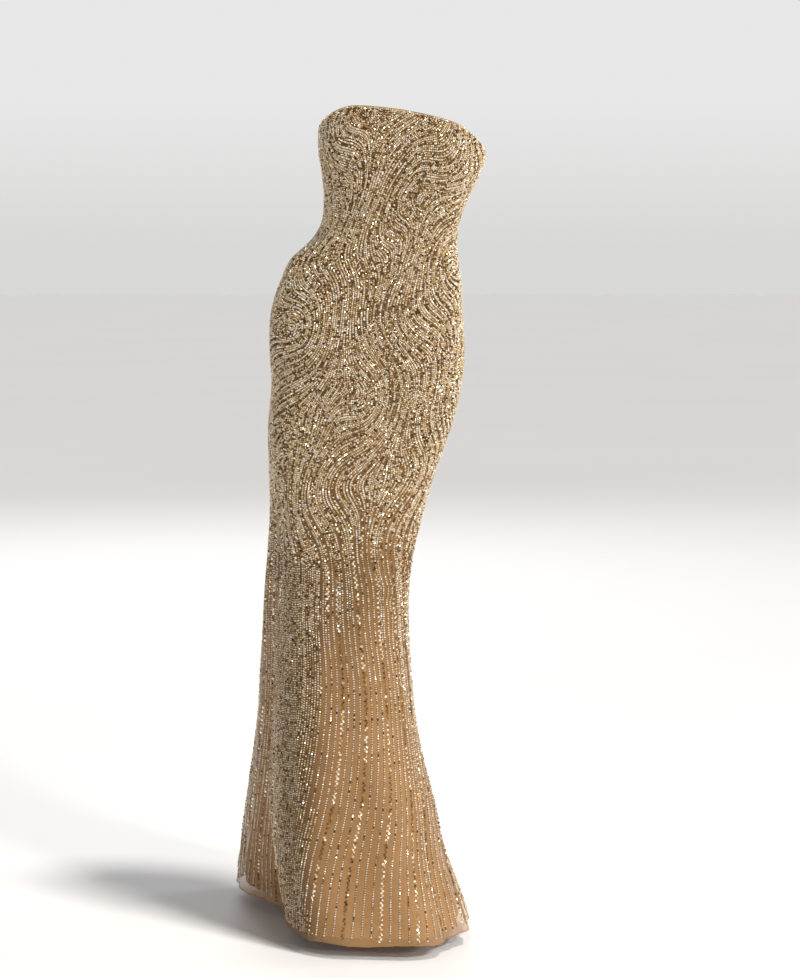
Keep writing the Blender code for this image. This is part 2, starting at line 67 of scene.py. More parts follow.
# The box that each level section fills, the share of the knee's and the hem's plan in its outline, and how far
# the centre front is turned from straight ahead, in degrees, where the outline is still the plain oval.
Section = namedtuple("Section", "height left right front back knee_plan hem_plan turn")
SECTIONS = table(Section, (
    (-40, -303, 130, -226, 330, 0.00, 1.00, 0),
    (0, -298, 119, -217, 318, 0.00, 1.00, 0),
    (61, -290, 98, -205, 292, 0.12, 0.88, 0),
    (132, -277, 73, -192, 260, 0.28, 0.72, 0),
    (202, -263, 58, -180, 230, 0.44, 0.56, 0),
    (273, -251, 40, -169, 202, 0.60, 0.40, 0),
    (344, -242, 26, -159, 176, 0.76, 0.24, 0),
    (415, -237, 19, -150, 152, 0.90, 0.10, 0),
    (481, -232, 15, -143, 134, 1.00, 0.00, 0),
    (552, -228, 14, -138, 122, 1.00, 0.00, 0),
    (622, -222, 22, -130, 115, 0.90, 0.00, -4),
    (688, -218, 38, -121, 112, 0.65, 0.00, -4),
    (759, -219, 59, -113, 112, 0.30, 0.00, -4),
    (830, -220, 85, -107, 115, 0.08, 0.00, -3),
    (901, -214, 102, -103, 120, 0.00, 0.00, -3),
    (966, -217, 107, -101, 123, 0.00, 0.00, -2),
    (1022, -214, 103, -99, 118, 0.00, 0.00, -1),
    (1073, -198, 101, -97, 104, 0.00, 0.00, 0),
    (1108, -181, 96, -94, 91, 0.00, 0.00, 0),
    (1144, -144, 94, -91, 80, 0.00, 0.00, 0),
    (1169, -131, 98, -89, 75, 0.00, 0.00, 0),
    (1194, -126, 106, -89, 73, 0.00, 0.00, 0),
    (1225, -126, 120, -93, 75, 0.00, 0.00, 0),
    (1255, -129, 134, -102, 81, 0.00, 0.00, 0),
    (1285, -134, 143, -107, 88, 0.00, 0.00, 0),
    (1321, -134, 143, -105, 93, 0.00, 0.00, 0),
    (1361, -134, 143, -98, 96, 0.00, 0.00, 0),
    (1417, -134, 143, -88, 97, 0.00, 0.00, 0),
    (1457, -134, 143, -82, 97, 0.00, 0.00, 0),
))
OVAL_SQUARENESS = 2.25  # 2 is an ellipse

# Outlines seen from above, as points that a smooth closed curve runs through, from the centre front round by +X.
# The hem's has the deep fold at which the forward half turns back to the trailing half.
KNEE_PLAN = (
    (-114, -134), (-62, -136), (-18, -112), (6, -66), (8, -14), (-6, 48), (-46, 100), (-108, 122), (-172, 110),
    (-222, 70), (-238, 14), (-217, -32), (-196, -82), (-164, -118),
)
HEM_PLAN = (
    (-66, -208), (-20, -213), (26, -217), (60, -203), (86, -163), (107, -112), (119, -52), (113, 36), (82, 130),
    (34, 216), (-42, 278), (-124, 312), (-206, 318), (-274, 300), (-298, 252), (-284, 196), (-256, 140),
    (-227, 90), (-202, 48), (-193, 0), (-189, -68), (-169, -126), (-146, -176), (-110, -200),
)

# Rounded fullness laid out from the sections: the cut of the cups, the seat, and the forward side at knee level.
# side is the share of the way round from the centre front, positive towards +X.
Fullness = namedtuple("Fullness", "height side tall wide out")
FULLNESSES = table(Fullness, (
    (1282, -0.090, 56, 0.070, 13),
    (1262, 0.090, 56, 0.070, 13),
    (976, -0.410, 95, 0.075, 9),
    (966, 0.400, 95, 0.075, 9),
    (592, 0.085, 75, 0.070, 11),
    (658, -0.020, 70, 0.060, -5),
))

# Soft folds that run down the cloth: side is where the fold's line crosses its middle height, and slant is how
# far it moves round, as a share, for each metre of height. out below 0 is a valley.
Fold = namedtuple("Fold", "low high side slant wide out")
FOLDS = table(Fold, (
    (-40, 420, 0.147, 0.180, 0.012, -9),
    (-40, 340, 0.178, 0.160, 0.011, 7),
    (-40, 300, 0.208, 0.120, 0.012, -8),
    (-40, 380, 0.300, 0.000, 0.016, -11),
    (-40, 330, 0.345, 0.000, 0.015, 9),
    (-40, 420, 0.395, 0.000, 0.017, -12),
    (-40, 360, 0.450, 0.000, 0.016, 9),
    (-40, 430, -0.465, 0.000, 0.017, -12),
    (-40, 340, -0.410, 0.000, 0.015, 9),
    (-40, 400, -0.350, 0.000, 0.016, -11),
    (-40, 300, -0.290, -0.030, 0.012, 7),
    (-40, 310, -0.205, -0.020, 0.011, -6),
    (506, 668, 0.140, 0.450, 0.012, -4),
    (526, 708, 0.185, 0.500, 0.012, -5),
    (1144, 1230, -0.215, 0.500, 0.012, -3),
    (1123, 1204, -0.255, 0.350, 0.012, -3),
))

# How far the top edge lies below its middle point, by the way round from the centre front (0.25 is the side).
EdgeDrop = namedtuple("EdgeDrop", "side drop")
TOP_EDGE = table(EdgeDrop, (
    (0.000, 0), (0.060, 2), (0.090, 4), (0.120, 8), (0.150, 17), (0.180, 28), (0.210, 40), (0.250, 52),
    (0.310, 66), (0.400, 70), (0.500, 68),
))

# The lining: how far inside the shell it hangs, and how much less of the folds it takes, by height.
LiningRow = namedtuple("LiningRow", "height inset fold_share")
LINING = table(LiningRow, (
    (-40, 17.0, 0.35),
    (150, 13.0, 0.45),
    (350, 8.0, 0.70),
    (540, 4.0, 1.0),
    (900, 2.6, 1.0),
    (1440, 2.6, 1.0),
))
LINING_JOIN_REACH = 45.0  # below the top edge, the height over which the lining draws in to the seam
LINING_HEM_LIFT = 8.0
LINING_TOP_DROP = 3.0

# The concealed zip at the centre back.
ZIP_LENGTH = 420.0
ZIP_TAPE_WIDTH = 22.0
ZIP_TAPE_GAP = 0.7  # between the panels' inner side and the tape
ZIP_SLOT_SIDE_GAP = 0.5  # between the tape and the lining's cut edge on each side of it
ZIP_SLOT_BELOW = 2.0


def smooth_curve(knots, values, at):
    """A smooth curve through the values at rising knots, read at the places given."""
    knots, values = np.asarray(knots, float), np.asarray(values, float)
    steps = np.diff(knots)
    slopes = np.diff(values) / steps
    tangents = np.empty_like(values)
    tangents[0], tangents[-1] = slopes[0], slopes[-1]
    tangents[1:-1] = (slopes[:-1] * steps[1:] + slopes[1:] * steps[:-1]) / (steps[:-1] + steps[1:])
    at = np.clip(at, knots[0], knots[-1])
    i = np.clip(np.searchsorted(knots, at, side="right") - 1, 0, len(steps) - 1)
    step = steps[i]
    u = (at - knots[i]) / step
    start = (1 + 2 * u) * (1 - u) ** 2 * values[i] + u * (1 - u) ** 2 * step * tangents[i]
    end = u * u * (3 - 2 * u) * values[i + 1] + u * u * (u - 1) * step * tangents[i + 1]
    return start + end


def from_table(rows, column, by, at):
    """One named column of a table, read smoothly against another."""
    return smooth_curve([getattr(r, by) for r in rows], [getattr(r, column) for r in rows], at)


def smooth_step(x):
    x = np.clip(x, 0.0, 1.0)
    return x * x * (3 - 2 * x)


def evenly_round(outline):
    """The closed outline's points, moved to lie evenly along it, from the same first point."""
    closed = np.vstack([outline, outline[:1]])
    along = np.concatenate([[0.0], np.cumsum(np.linalg.norm(np.diff(closed, axis=0), axis=1))])
    at = np.linspace(0.0, along[-1], RING_POINTS, endpoint=False)
    return np.stack([np.interp(at, along, closed[:, k]) for k in range(2)], axis=1)


def in_unit_box(outline):
    """The outline, moved and stretched to reach from -1 to 1 both ways."""
    low, high = outline.min(0), outline.max(0)
    return (outline - (low + high) / 2) / ((high - low) / 2)


def plan_outline(plan):
    """A smooth closed curve through a plan's points, as a unit outline."""
    points = np.array(plan, float)
    count = len(points)
    around = np.vstack([points[-3:], points, points[:3]])
    chords = np.linalg.norm(np.diff(around, axis=0), axis=1) ** 0.5
    knots = np.concatenate([[0.0], np.cumsum(chords)])
    at = np.linspace(knots[3], knots[3 + count], 4 * RING_POINTS, endpoint=False)
    curve = np.stack([smooth_curve(knots, around[:, k], at) for k in range(2)], axis=1)
    return in_unit_box(evenly_round(curve))


def oval_outline(turn):
    """A slightly squared oval as a unit outline, starting at a centre front turned by that many degrees."""
    angle = np.radians(turn - 90) + np.linspace(0, 2 * np.pi, 4 * RING_POINTS, endpoint=False)
    power = 2 / OVAL_SQUARENESS
    c, s = np.cos(angle), np.sin(angle)
    return evenly_round(np.stack([np.sign(c) * np.abs(c) ** power, np.sign(s) * np.abs(s) ** power], axis=1))


def level_ring(height, knee, hem):
    """The section's outline at one height, in millimetres, evenly spaced from the centre front."""
    read = {name: float(from_table(SECTIONS, name, "height", height)) for name in Section._fields[1:]}
    knee_share, hem_share = max(read["knee_plan"], 0.0), max(read["hem_plan"], 0.0)
    oval_share = max(1.0 - knee_share - hem_share, 0.0)
    unit = oval_share * oval_outline(read["turn"]) + knee_share * knee + hem_share * hem
    unit = in_unit_box(unit)
    middle = np.array([read["left"] + read["right"], read["front"] + read["back"]]) / 2
    half = np.array([read["right"] - read["left"], read["back"] - read["front"]]) / 2
    return evenly_round(middle + unit * half)


def around_distance(side, centre):
    """The shorter way round between two places, as a share of the whole way."""
    return (side - centre + 0.5) % 1.0 - 0.5


def fullness_at(side, height):
    """How far the cups, seat and knee stand out at these places."""
    out = np.zeros(np.broadcast(side, height).shape)
    for f in FULLNESSES:
        across = around_distance(side, f.side) / f.wide
        up = (height - f.height) / f.tall
        out += f.out * np.exp(-(across**2 + up**2))
    return out


def folds_at(side, height):
    """How far the soft folds stand out or in at these places."""
    out = np.zeros(np.broadcast(side, height).shape)
    for f in FOLDS:
        middle = (f.low + f.high) / 2
        across = around_distance(side, f.side + f.slant * (height - middle) * MM) / f.wide
        open_below = f.low <= LOWEST_LEVEL
        share = (height - f.low) / (f.high - f.low)
        ends = smooth_step(1 - share) if open_below else np.sin(np.pi * np.clip(share, 0, 1)) ** 2
        out += f.out * np.exp(-(across**2)) * ends
    return out


def outward(rings):
    """The level, outward direction at each point of each ring."""
    along = np.roll(rings, -1, axis=1) - np.roll(rings, 1, axis=1)
    turned = np.stack([along[..., 1], -along[..., 0]], axis=-1)
    return turned / np.linalg.norm(turned, axis=-1, keepdims=True)


def inside(rings, distance):
    """The rings moved inwards, so that their surface lies this far inside the first, measured square to it."""
    rise = np.gradient(rings, LEVEL_STEP, axis=0)
    out = outward(rings)
    lean = np.sqrt(1 + (rise * out).sum(-1) ** 2)
    return rings - out * (distance * lean)[..., None]


LEVELS = np.arange(LOWEST_LEVEL, HIGHEST_LEVEL + LEVEL_STEP / 2, LEVEL_STEP)
SIDES = np.arange(RING_POINTS) / RING_POINTS
KNEE_OUTLINE, HEM_OUTLINE = plan_outline(KNEE_PLAN), plan_outline(HEM_PLAN)
PLAIN_RINGS = np.array([level_ring(h, KNEE_OUTLINE, HEM_OUTLINE) for h in LEVELS])
FULL = fullness_at(SIDES[None, :], LEVELS[:, None])
FOLDED = folds_at(SIDES[None, :], LEVELS[:, None])
SHELL_RINGS = PLAIN_RINGS + outward(PLAIN_RINGS) * (FULL + FOLDED)[..., None]
ROUND_LENGTH = np.linalg.norm(np.roll(SHELL_RINGS, -1, axis=1) - SHELL_RINGS, axis=2).sum(axis=1)


def read_grid(grid, side, height):
    """A ringed grid of vectors, read between its points."""
    side, height = np.broadcast_arrays(np.asarray(side, float), np.asarray(height, float))
    across = (side % 1.0) * RING_POINTS
    up = np.clip((height - LOWEST_LEVEL) / LEVEL_STEP, 0, len(LEVELS) - 1.001)
    i, j = np.floor(across).astype(int), np.floor(up).astype(int)
    a, b = (across - i)[..., None], (up - j)[..., None]
    i, after = i % RING_POINTS, (i + 1) % RING_POINTS
    low = grid[j, i] * (1 - a) + grid[j, after] * a
    high = grid[j + 1, i] * (1 - a) + grid[j + 1, after] * a
    return low * (1 - b) + high * b


def on_rings(rings, side, height):
    """Points of a ringed surface at shares round it and heights, in metres from the origin."""
    side, height = np.broadcast_arrays(np.asarray(side, float), np.asarray(height, float))
    flat = read_grid(rings, side, height)
    return np.concatenate([flat, (height - HOLD_HEIGHT)[..., None]], axis=-1) * MM


def round_length(height):
    return np.interp(height, LEVELS, ROUND_LENGTH)


def top_edge(side):
    """The top edge's height at each share of the way round."""
    drop = from_table(TOP_EDGE, "drop", "side", np.abs(around_distance(side, 0.0)))
    height = np.full(np.shape(side), FRONT_LENGTH - 30.0)
    for _ in range(4):  # the fall towards +X depends on where the edge lies
        x = on_rings(SHELL_RINGS, side, height)[..., 0] / MM
        height = FRONT_LENGTH - drop - TOP_TILT * x
    return height


def edge_at(side):
    """The top edge's height at one place."""
    return float(top_edge(np.array([side]))[0])


def lining_rings():
    """The lining's outer surface: inside the shell, in softer folds, and close against it at the top edge."""
    fold_share = from_table(LINING, "fold_share", "height", LEVELS)[:, None]
    inset = from_table(LINING, "inset", "height", LEVELS)[:, None]
    below_edge = top_edge(SIDES)[None, :] - LEVELS[:, None]
    hanging = smooth_step(below_edge / LINING_JOIN_REACH)
    inset = LAYER_GAP + (inset - LAYER_GAP) * hanging
    eased = PLAIN_RINGS + outward(PLAIN_RINGS) * (FULL + FOLDED * fold_share)[..., None]
    return inside(eased, SHELL_WALL + inset)


LINING_RINGS = lining_rings()
TAPE_RINGS = inside(SHELL_RINGS, SHELL_WALL + ZIP_TAPE_GAP)

# ---------------------------------------------------------------- cloth

NET_DEPTH = 0.9  # of the net below the frame's outer surface; beads stand on the net
LINING_DEPTH = 0.4
FRONT_CELLS = (150, 190)
BACK_CELLS = (75, 190)
LINING_CELLS = (110, 120)
TOP_FOLD_DEPTH = 7.0
WAVE_RADIUS = 180.0
NET_SLACK = 1.3  # how far the loose cloth of the skirt ripples
LINING_SLACK = 2.2

# Small creases that the cut's large folds don't have. side and height are the middle, angle is degrees from level,
# half is half the length, and out below 0 is a valley.
Crease = namedtuple("Crease", "side height angle half wide out")
CREASES = table(Crease, (
    (0.092, 602, -24, 62, 9, -2.4),
    (0.104, 574, -30, 54, 8, 2.2),
    (0.118, 548, -34, 48, 8, -2.2),
    (0.126, 524, -38, 40, 8, 1.6),
    (0.070, 628, -18, 46, 9, 1.6),
    (0.040, 566, 12, 40, 10, -1.2),
    (-0.160, 1166, 20, 46, 8, -1.6),
    (-0.190, 1146, 26, 40, 8, -1.8),
    (-0.130, 1184, 14, 40, 9, -1.2),
    (0.150, 1172, -14, 46, 8, -1.4),
    (0.185, 1150, -20, 42, 9, 1.3),
    (-0.085, 760, 64, 120, 13, -1.8),
    (0.020, 730, 72, 130, 14, 1.6),
    (0.060, 420, 86, 150, 11, 1.5),
    (-0.020, 350, 84, 190, 13, -1.8),
    (-0.065, 300, 96, 170, 11, 1.7),
    (0.330, 610, 18, 60, 10, -2.0),
    (0.410, 580, -16, 66, 10, -2.2),
    (0.455, 640, -10, 54, 9, 1.4),
    (-0.330, 596, -22, 60, 10, -2.1),
    (-0.410, 566, 15, 56, 10, 1.6),
    (0.345, 1158, 18, 46, 9, -1.7),
    (0.420, 1140, 10, 44, 8, -1.5),
    (-0.350, 1150, -16, 48, 9, -1.7),
    (-0.430, 1168, -8, 40, 8, 1.2),
    (0.380, 330, 88, 170, 13, 1.8),
    (-0.440, 300, 94, 180, 13, -1.7),
))


def creases_at(side, height):
    """How far the small creases stand out or in at these places."""
    out = np.zeros(np.broadcast(side, height).shape)
    around = round_length(height)
    for c in CREASES:
        x = around_distance(side, c.side) * around
        z = height - c.height
        turn = np.radians(c.angle)
        along = x * np.cos(turn) + z * np.sin(turn)
        across = z * np.cos(turn) - x * np.sin(turn) + 0.12 * along**2 / c.half
        ends = np.cos(np.pi / 2 * np.clip(along / c.half, -1, 1)) ** 2
        out += c.out * np.exp(-((across / c.wide) ** 2)) * ends
    return out


def waves(x, y, seed, size):
    """A smooth, uneven field of about -1 to 1 over two coordinates, without a repeat that shows."""
    rng = np.random.default_rng(seed)
    total = np.zeros(np.broadcast(x, y).shape)
    for k in range(7):
        turn = rng.uniform(0, 2 * np.pi)
        step = 2 * np.pi / (size * rng.uniform(0.7, 1.9))
        total += np.sin((x * np.cos(turn) + y * np.sin(turn)) * step + rng.uniform(0, 2 * np.pi))
    return total / 3.2


def on_circle(side):
    """The places round the cloth as points of a circle, for fields of waves that close on themselves."""
    return np.cos(2 * np.pi * side) * WAVE_RADIUS, np.sin(2 * np.pi * side) * WAVE_RADIUS


CREASED = creases_at(SIDES[None, :], LEVELS[:, None])
ROUND_X, ROUND_Y = on_circle(SIDES[None, :])
LOOSE = smooth_step((560 - LEVELS) / 500)[:, None]
RIPPLED = LOOSE * NET_SLACK * waves(ROUND_X + 0.15 * LEVELS[:, None], ROUND_Y, 5, 60)
NET_RINGS = inside(SHELL_RINGS + outward(SHELL_RINGS) * (CREASED + RIPPLED)[..., None], NET_DEPTH)
LINING_RIPPLED = LOOSE * LINING_SLACK * waves(ROUND_X, ROUND_Y + 0.2 * LEVELS[:, None], 8, 75)
BELOW_EDGE = top_edge(SIDES)[None, :] - LEVELS[:, None]
LINING_MOVED = (0.7 * CREASED * smooth_step(BELOW_EDGE / 90)) + LINING_RIPPLED
LINING_SHEET = inside(LINING_RINGS + outward(LINING_RINGS) * LINING_MOVED[..., None], LINING_DEPTH)


def gathering(side, height):
    """Where the skirt folds back and its rows of beads crowd together, from 0 to 1: once in front, once behind."""
    near = np.minimum(np.abs(around_distance(side, -0.092)), np.abs(around_distance(side, 0.405)))
    reach = 0.064 + 0.022 * smooth_step((height - 100) / 200)
    return smooth_step((reach - near) / 0.042) * smooth_step((680 - height) / 160)


def solid_points(rings):
    """The rings as points in space."""
    heights = np.broadcast_to((LEVELS - HOLD_HEIGHT)[:, None, None], (*rings.shape[:2], 1))
    return np.concatenate([rings, heights], axis=-1)


def normals_of(rings):
    """The outward direction of a ringed surface at each of its points."""
    points = solid_points(rings)
    around = np.roll(points, -1, axis=1) - np.roll(points, 1, axis=1)
    up = np.gradient(points, axis=0)
    out = np.cross(around, up)
    return out / np.linalg.norm(out, axis=-1, keepdims=True)


NET_NORMALS = normals_of(NET_RINGS)
LINING_NORMALS = normals_of(LINING_SHEET)


def on_net(side, height):
    """Points of the net and its outward directions there."""
    return on_rings(NET_RINGS, side, height), read_grid(NET_NORMALS, side, height)


def hem_height(side):
    """The net's lower edge, which isn't quite level."""
    x, y = on_circle(side)
    return 0.8 + 1.5 * waves(x, y, 11, 70) + 0.7 * waves(x, y, 12, 22)


# ---------------------------------------------------------------- meshes


def mesh_of(name, points, faces, smooth, tones=None, plan=None):
    """A mesh from arrays of points and of faces that all have the same number of corners."""
    mesh = bpy.data.meshes.new(name)
    faces = np.ascontiguousarray(faces, dtype=np.int32)
    mesh.vertices.add(len(points))
    mesh.vertices.foreach_set("co", np.ascontiguousarray(points, dtype=np.float32).ravel())
    mesh.loops.add(faces.size)
    mesh.loops.foreach_set("vertex_index", faces.ravel())
    mesh.polygons.add(len(faces))
    mesh.polygons.foreach_set("loop_start", np.arange(len(faces), dtype=np.int32) * faces.shape[1])
    mesh.polygons.foreach_set("use_smooth", np.full(len(faces), smooth))
    if plan is not None:
        layer = mesh.uv_layers.new(name="OFBake")
        layer.data.foreach_set("uv", np.ascontiguousarray(plan[faces.ravel()], dtype=np.float32).ravel())
    if tones is not None:
        layer = mesh.attributes.new("tone", "FLOAT", "POINT")
        layer.data.foreach_set("value", np.ascontiguousarray(tones, dtype=np.float32))
    mesh.update(calc_edges=True)
    return mesh


def add_object(name, data):
    made = bpy.data.objects.new(name, data)
    bpy.context.scene.collection.objects.link(made)
    return made


def piece(name, mesh, finish, replaces=()):
    """A finished piece in the scene, riding on the gown's body."""
    mesh.materials.append(finish)
    made = add_object(name, mesh)
    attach(made, "gown")
    if replaces:
        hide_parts(*replaces)
    return made


def grid_faces(rows, columns):
    """Four-cornered faces over a grid of points, facing outwards where columns run towards +X."""
    at = np.arange(rows * columns).reshape(rows, columns)
    corners = (at[:-1, :-1], at[:-1, 1:], at[1:, 1:], at[1:, :-1])
    return np.stack([c.ravel() for c in corners], axis=1)


def grid_plan(rows, columns):
    """Places in the unit square for a grid of points."""
    v, u = np.meshgrid(np.linspace(0.01, 0.99, rows), np.linspace(0.01, 0.99, columns), indexing="ij")
    return np.stack([u.ravel(), v.ravel()], axis=1)


def cell_plan(count, form):
    """Places in the unit square for many copies of a form, each in a cell of its own."""
    side = int(np.ceil(np.sqrt(count)))
    cell = np.stack([np.arange(count) % side, np.arange(count) // side], axis=1)[:, None, :]
    return ((cell + form) / side).reshape(-1, 2)


def cloth_mesh(name, rings, start, end, cells, low, high, keep=None):
    """A sheet of cloth on a ringed surface, between two seams, with functions for its lower and upper edges."""
    columns, rows = cells
    side = np.broadcast_to(np.linspace(start, end, columns + 1), (rows + 1, columns + 1))
    share = np.linspace(0, 1, rows + 1)[:, None]
    height = low(side) + share * (high(side) - low(side))
    points = on_rings(rings, side, height)
    faces = grid_faces(rows + 1, columns + 1)
    if keep is not None:
        faces = faces[keep(side.ravel()[faces].mean(1), height.ravel()[faces].mean(1))]
    # Painted shade for the net in the skirt's folds, stored as each sheet's tone; only the net's finish reads it.
    shade = gathering(side, height).ravel()
    return mesh_of(name, points.reshape(-1, 3), faces, True, shade, grid_plan(rows + 1, columns + 1))


def flat_area(start, end, low, high):
    """The flat area of a panel in square metres, and the width and length of the cloth that it is cut from."""
    side = np.linspace(start, end, 60)
    top, bottom = float(high(side).max()), float(low(side).min())
    heights = np.linspace(bottom, top, 80)
    widths = round_length(heights) * (end - start) * MM
    length = (top - bottom) * MM
    return float(widths.mean() * length), float(widths.max()), length


def declare_cloth(start, end, low, high):
    area, width, length = flat_area(start, end, low, high)


# ---------------------------------------------------------------- finishes


class Nodes:
    """A material's node tree, with short calls to add to it."""

    def __init__(self, name):
        self.material = bpy.data.materials.new(name)
        self.material.use_nodes = True
        self.tree = self.material.node_tree
        self.shader = self.tree.nodes["Principled BSDF"]

    def add(self, kind):
        return self.tree.nodes.new(kind)

    def link(self, out, into):
        self.tree.links.new(out, into)

    def set(self, **values):
        sockets = {socket.name.lower().replace(" ", "_"): socket for socket in self.shader.inputs}
        for name, value in values.items():
            sockets[name].default_value = value

    def surface(self, colour, roughness):
        self.link(colour, self.shader.inputs["Base Color"])
        self.link(roughness, self.shader.inputs["Roughness"])

    def place(self, scale=(1, 1, 1)):
        """The point's place on the object, in metres, scaled each way."""
        mapping = self.add("ShaderNodeMapping")
        mapping.inputs["Scale"].default_value = scale
        self.link(self.add("ShaderNodeTexCoord").outputs["Object"], mapping.inputs["Vector"])
        return mapping.outputs["Vector"]

    def noise(self, scale, detail=3.0, place=None):
        node = self.add("ShaderNodeTexNoise")
        node.inputs["Scale"].default_value = scale
        node.inputs["Detail"].default_value = detail
        self.link(place or self.place(), node.inputs["Vector"])
        return node.outputs["Fac"]

    def ramp(self, factor, stops):
        node = self.add("ShaderNodeValToRGB")
        band = node.color_ramp
        while len(band.elements) < len(stops):
            band.elements.new(0.5)
        for element, (at, colour) in zip(band.elements, stops):
            element.position = at
            element.color = (*colour, 1.0)
        self.link(factor, node.inputs["Fac"])
        return node.outputs["Color"]

    def math(self, operation, a, b=0.0, c=0.0, clamp=False):
        node = self.add("ShaderNodeMath")
        node.operation = operation
        node.use_clamp = clamp
        for socket, value in zip(node.inputs, (a, b, c)):
            if isinstance(value, (int, float)):
                socket.default_value = value
            else:
                self.link(value, socket)
        return node.outputs[0]

    def mix(self, factor, a, b, blend="MIX"):
        node = self.add("ShaderNodeMix")
        node.data_type = "RGBA"
        node.blend_type = blend
        for name, value in (("Factor", factor), ("A", a), ("B", b)):
            sockets = [s for s in node.inputs if s.name == name and s.enabled]
            if isinstance(value, (int, float)):
                sockets[0].default_value = value
            elif isinstance(value, tuple):
                sockets[0].default_value = (*value, 1.0)
            else:
                self.link(value, sockets[0])
        return [s for s in node.outputs if s.enabled][0]

    def bump(self, height, strength, distance):
        node = self.add("ShaderNodeBump")
        node.inputs["Strength"].default_value = strength
        node.inputs["Distance"].default_value = distance
        self.link(height, node.inputs["Height"])
        self.link(node.outputs["Normal"], self.shader.inputs["Normal"])


NET_HOLES = 2400.0  # cells of the net's weave in a metre
WEAVE = 3000.0


def net_finish():
    """Fine tan net, sheer, with painted shade: a little darker where the beads above the knees shade it, and in the
    skirt's folds where the rows crowd together.
    """
    n = Nodes("sheer_net")
    cell = n.add("ShaderNodeTexVoronoi")
    cell.feature = "DISTANCE_TO_EDGE"
    cell.inputs["Scale"].default_value = NET_HOLES
    n.link(n.place(), cell.inputs["Vector"])
    thread = n.math("LESS_THAN", cell.outputs["Distance"], 0.09)
    cloud = n.noise(7.0, 4.0)
    tan = n.ramp(cloud, ((0.30, (0.330, 0.178, 0.066)), (0.70, (0.440, 0.245, 0.098))))
    z = n.add("ShaderNodeSeparateXYZ")
    n.link(n.place(), z.inputs[0])
    shade = n.add("ShaderNodeMapRange")
    n.link(z.outputs["Z"], shade.inputs["Value"])
    shade.inputs["From Min"].default_value = -0.88
    shade.inputs["From Max"].default_value = -0.44
    # Painted shade in the skirt's folds, read from the mesh's tone, which holds how far the rows crowd together
    # there; the painted shade also makes the net less sheer.
    painted_fold_shade = n.add("ShaderNodeAttribute")
    painted_fold_shade.attribute_name = "tone"
    painted_shade = n.math("MULTIPLY_ADD", painted_fold_shade.outputs["Fac"], 0.85, shade.outputs[0])
    patch = n.math("ADD", painted_shade, n.math("MULTIPLY", n.math("SUBTRACT", n.noise(16.0), 0.5), 0.4), clamp=True)
    dark = n.mix(patch, tan, (0.078, 0.041, 0.013))
    colour = n.mix(n.math("MULTIPLY", thread, 0.18), dark, (0.50, 0.30, 0.14))
    n.surface(colour, n.math("MULTIPLY_ADD", cloud, 0.20, 0.42))
    cover = n.math("MULTIPLY_ADD", thread, 0.16, n.math("MULTIPLY_ADD", patch, 0.30, 0.56))
    n.link(cover, n.shader.inputs["Alpha"])
    n.set(sheen_weight=0.04, sheen_roughness=0.4, specular_ior_level=0.25)
    n.bump(cell.outputs["Distance"], 0.25, 0.0002)
    return n.material


def lining_finish():
    """Soft plain-weave lining with a low sheen."""
    n = Nodes("lining_cloth")
    warp = n.add("ShaderNodeTexWave")
    warp.inputs["Scale"].default_value = WEAVE / 6
    warp.inputs["Distortion"].default_value = 0.6
    n.link(n.place(), warp.inputs["Vector"])
    weft = n.add("ShaderNodeTexWave")
    weft.bands_direction = "Z"
    weft.inputs["Scale"].default_value = WEAVE / 6
    weft.inputs["Distortion"].default_value = 0.6
    n.link(n.place(), weft.inputs["Vector"])
    cloud = n.noise(5.0, 5.0)
    tan = n.ramp(cloud, ((0.30, (0.500, 0.262, 0.100)), (0.70, (0.610, 0.335, 0.140))))
    weave = n.math("MULTIPLY", warp.outputs["Fac"], weft.outputs["Fac"])
    colour = n.mix(n.math("MULTIPLY", weave, 0.18), tan, (0.70, 0.44, 0.22))
    n.surface(colour, n.math("MULTIPLY_ADD", cloud, 0.2, 0.38))
    n.set(sheen_weight=0.08, sheen_roughness=0.35)
    n.bump(n.math("ADD", weave, n.math("MULTIPLY", n.noise(60.0), 2.0)), 0.15, 0.0004)
    return n.material


def glass_finish(name, stops, metallic, roughness):
    """Small cut beads or spangles, each with its own tone from dark to pale, which also carries painted glints and,
    on the beads, painted shade in the skirt's folds.
    """
    n = Nodes(name)
    tone = n.add("ShaderNodeAttribute")
    tone.attribute_name = "tone"
    colour = n.ramp(tone.outputs["Fac"], stops)
    smoke = n.noise(900.0, 2.0)
    smoked = n.mix(n.math("MULTIPLY", smoke, 0.35), colour, (0.55, 0.40, 0.25), "MULTIPLY")
    n.surface(smoked, n.math("MULTIPLY_ADD", smoke, 0.16, roughness))
    n.set(metallic=metallic, coat_weight=0.3, coat_roughness=0.08)
    return n.material


def metal_finish():
    """Brushed antique gold."""
    n = Nodes("antique_gold")
    grain = n.noise(1500.0, 2.0, n.place((1, 1, 0.08)))
    worn = n.noise(260.0, 3.0)
    gold = n.ramp(worn, ((0.35, (0.44, 0.29, 0.12)), (0.70, (0.72, 0.54, 0.28))))
    n.surface(gold, n.math("MULTIPLY_ADD", grain, 0.22, 0.20))
    n.set(metallic=1.0)
    n.bump(grain, 0.12, 0.0001)
    return n.material


def thread_finish(name, dark, light, twist):
    """Sewing thread or woven tape, with fine diagonal twist."""
    n = Nodes(name)
    strand = n.add("ShaderNodeTexWave")
    strand.bands_direction = "DIAGONAL"
    strand.inputs["Scale"].default_value = twist
    strand.inputs["Distortion"].default_value = 1.0
    n.link(n.place(), strand.inputs["Vector"])
    colour = n.ramp(strand.outputs["Fac"], ((0.2, dark), (0.8, light)))
    n.surface(colour, n.math("MULTIPLY_ADD", n.noise(400.0), 0.2, 0.55))
    n.bump(strand.outputs["Fac"], 0.3, 0.0002)
    return n.material


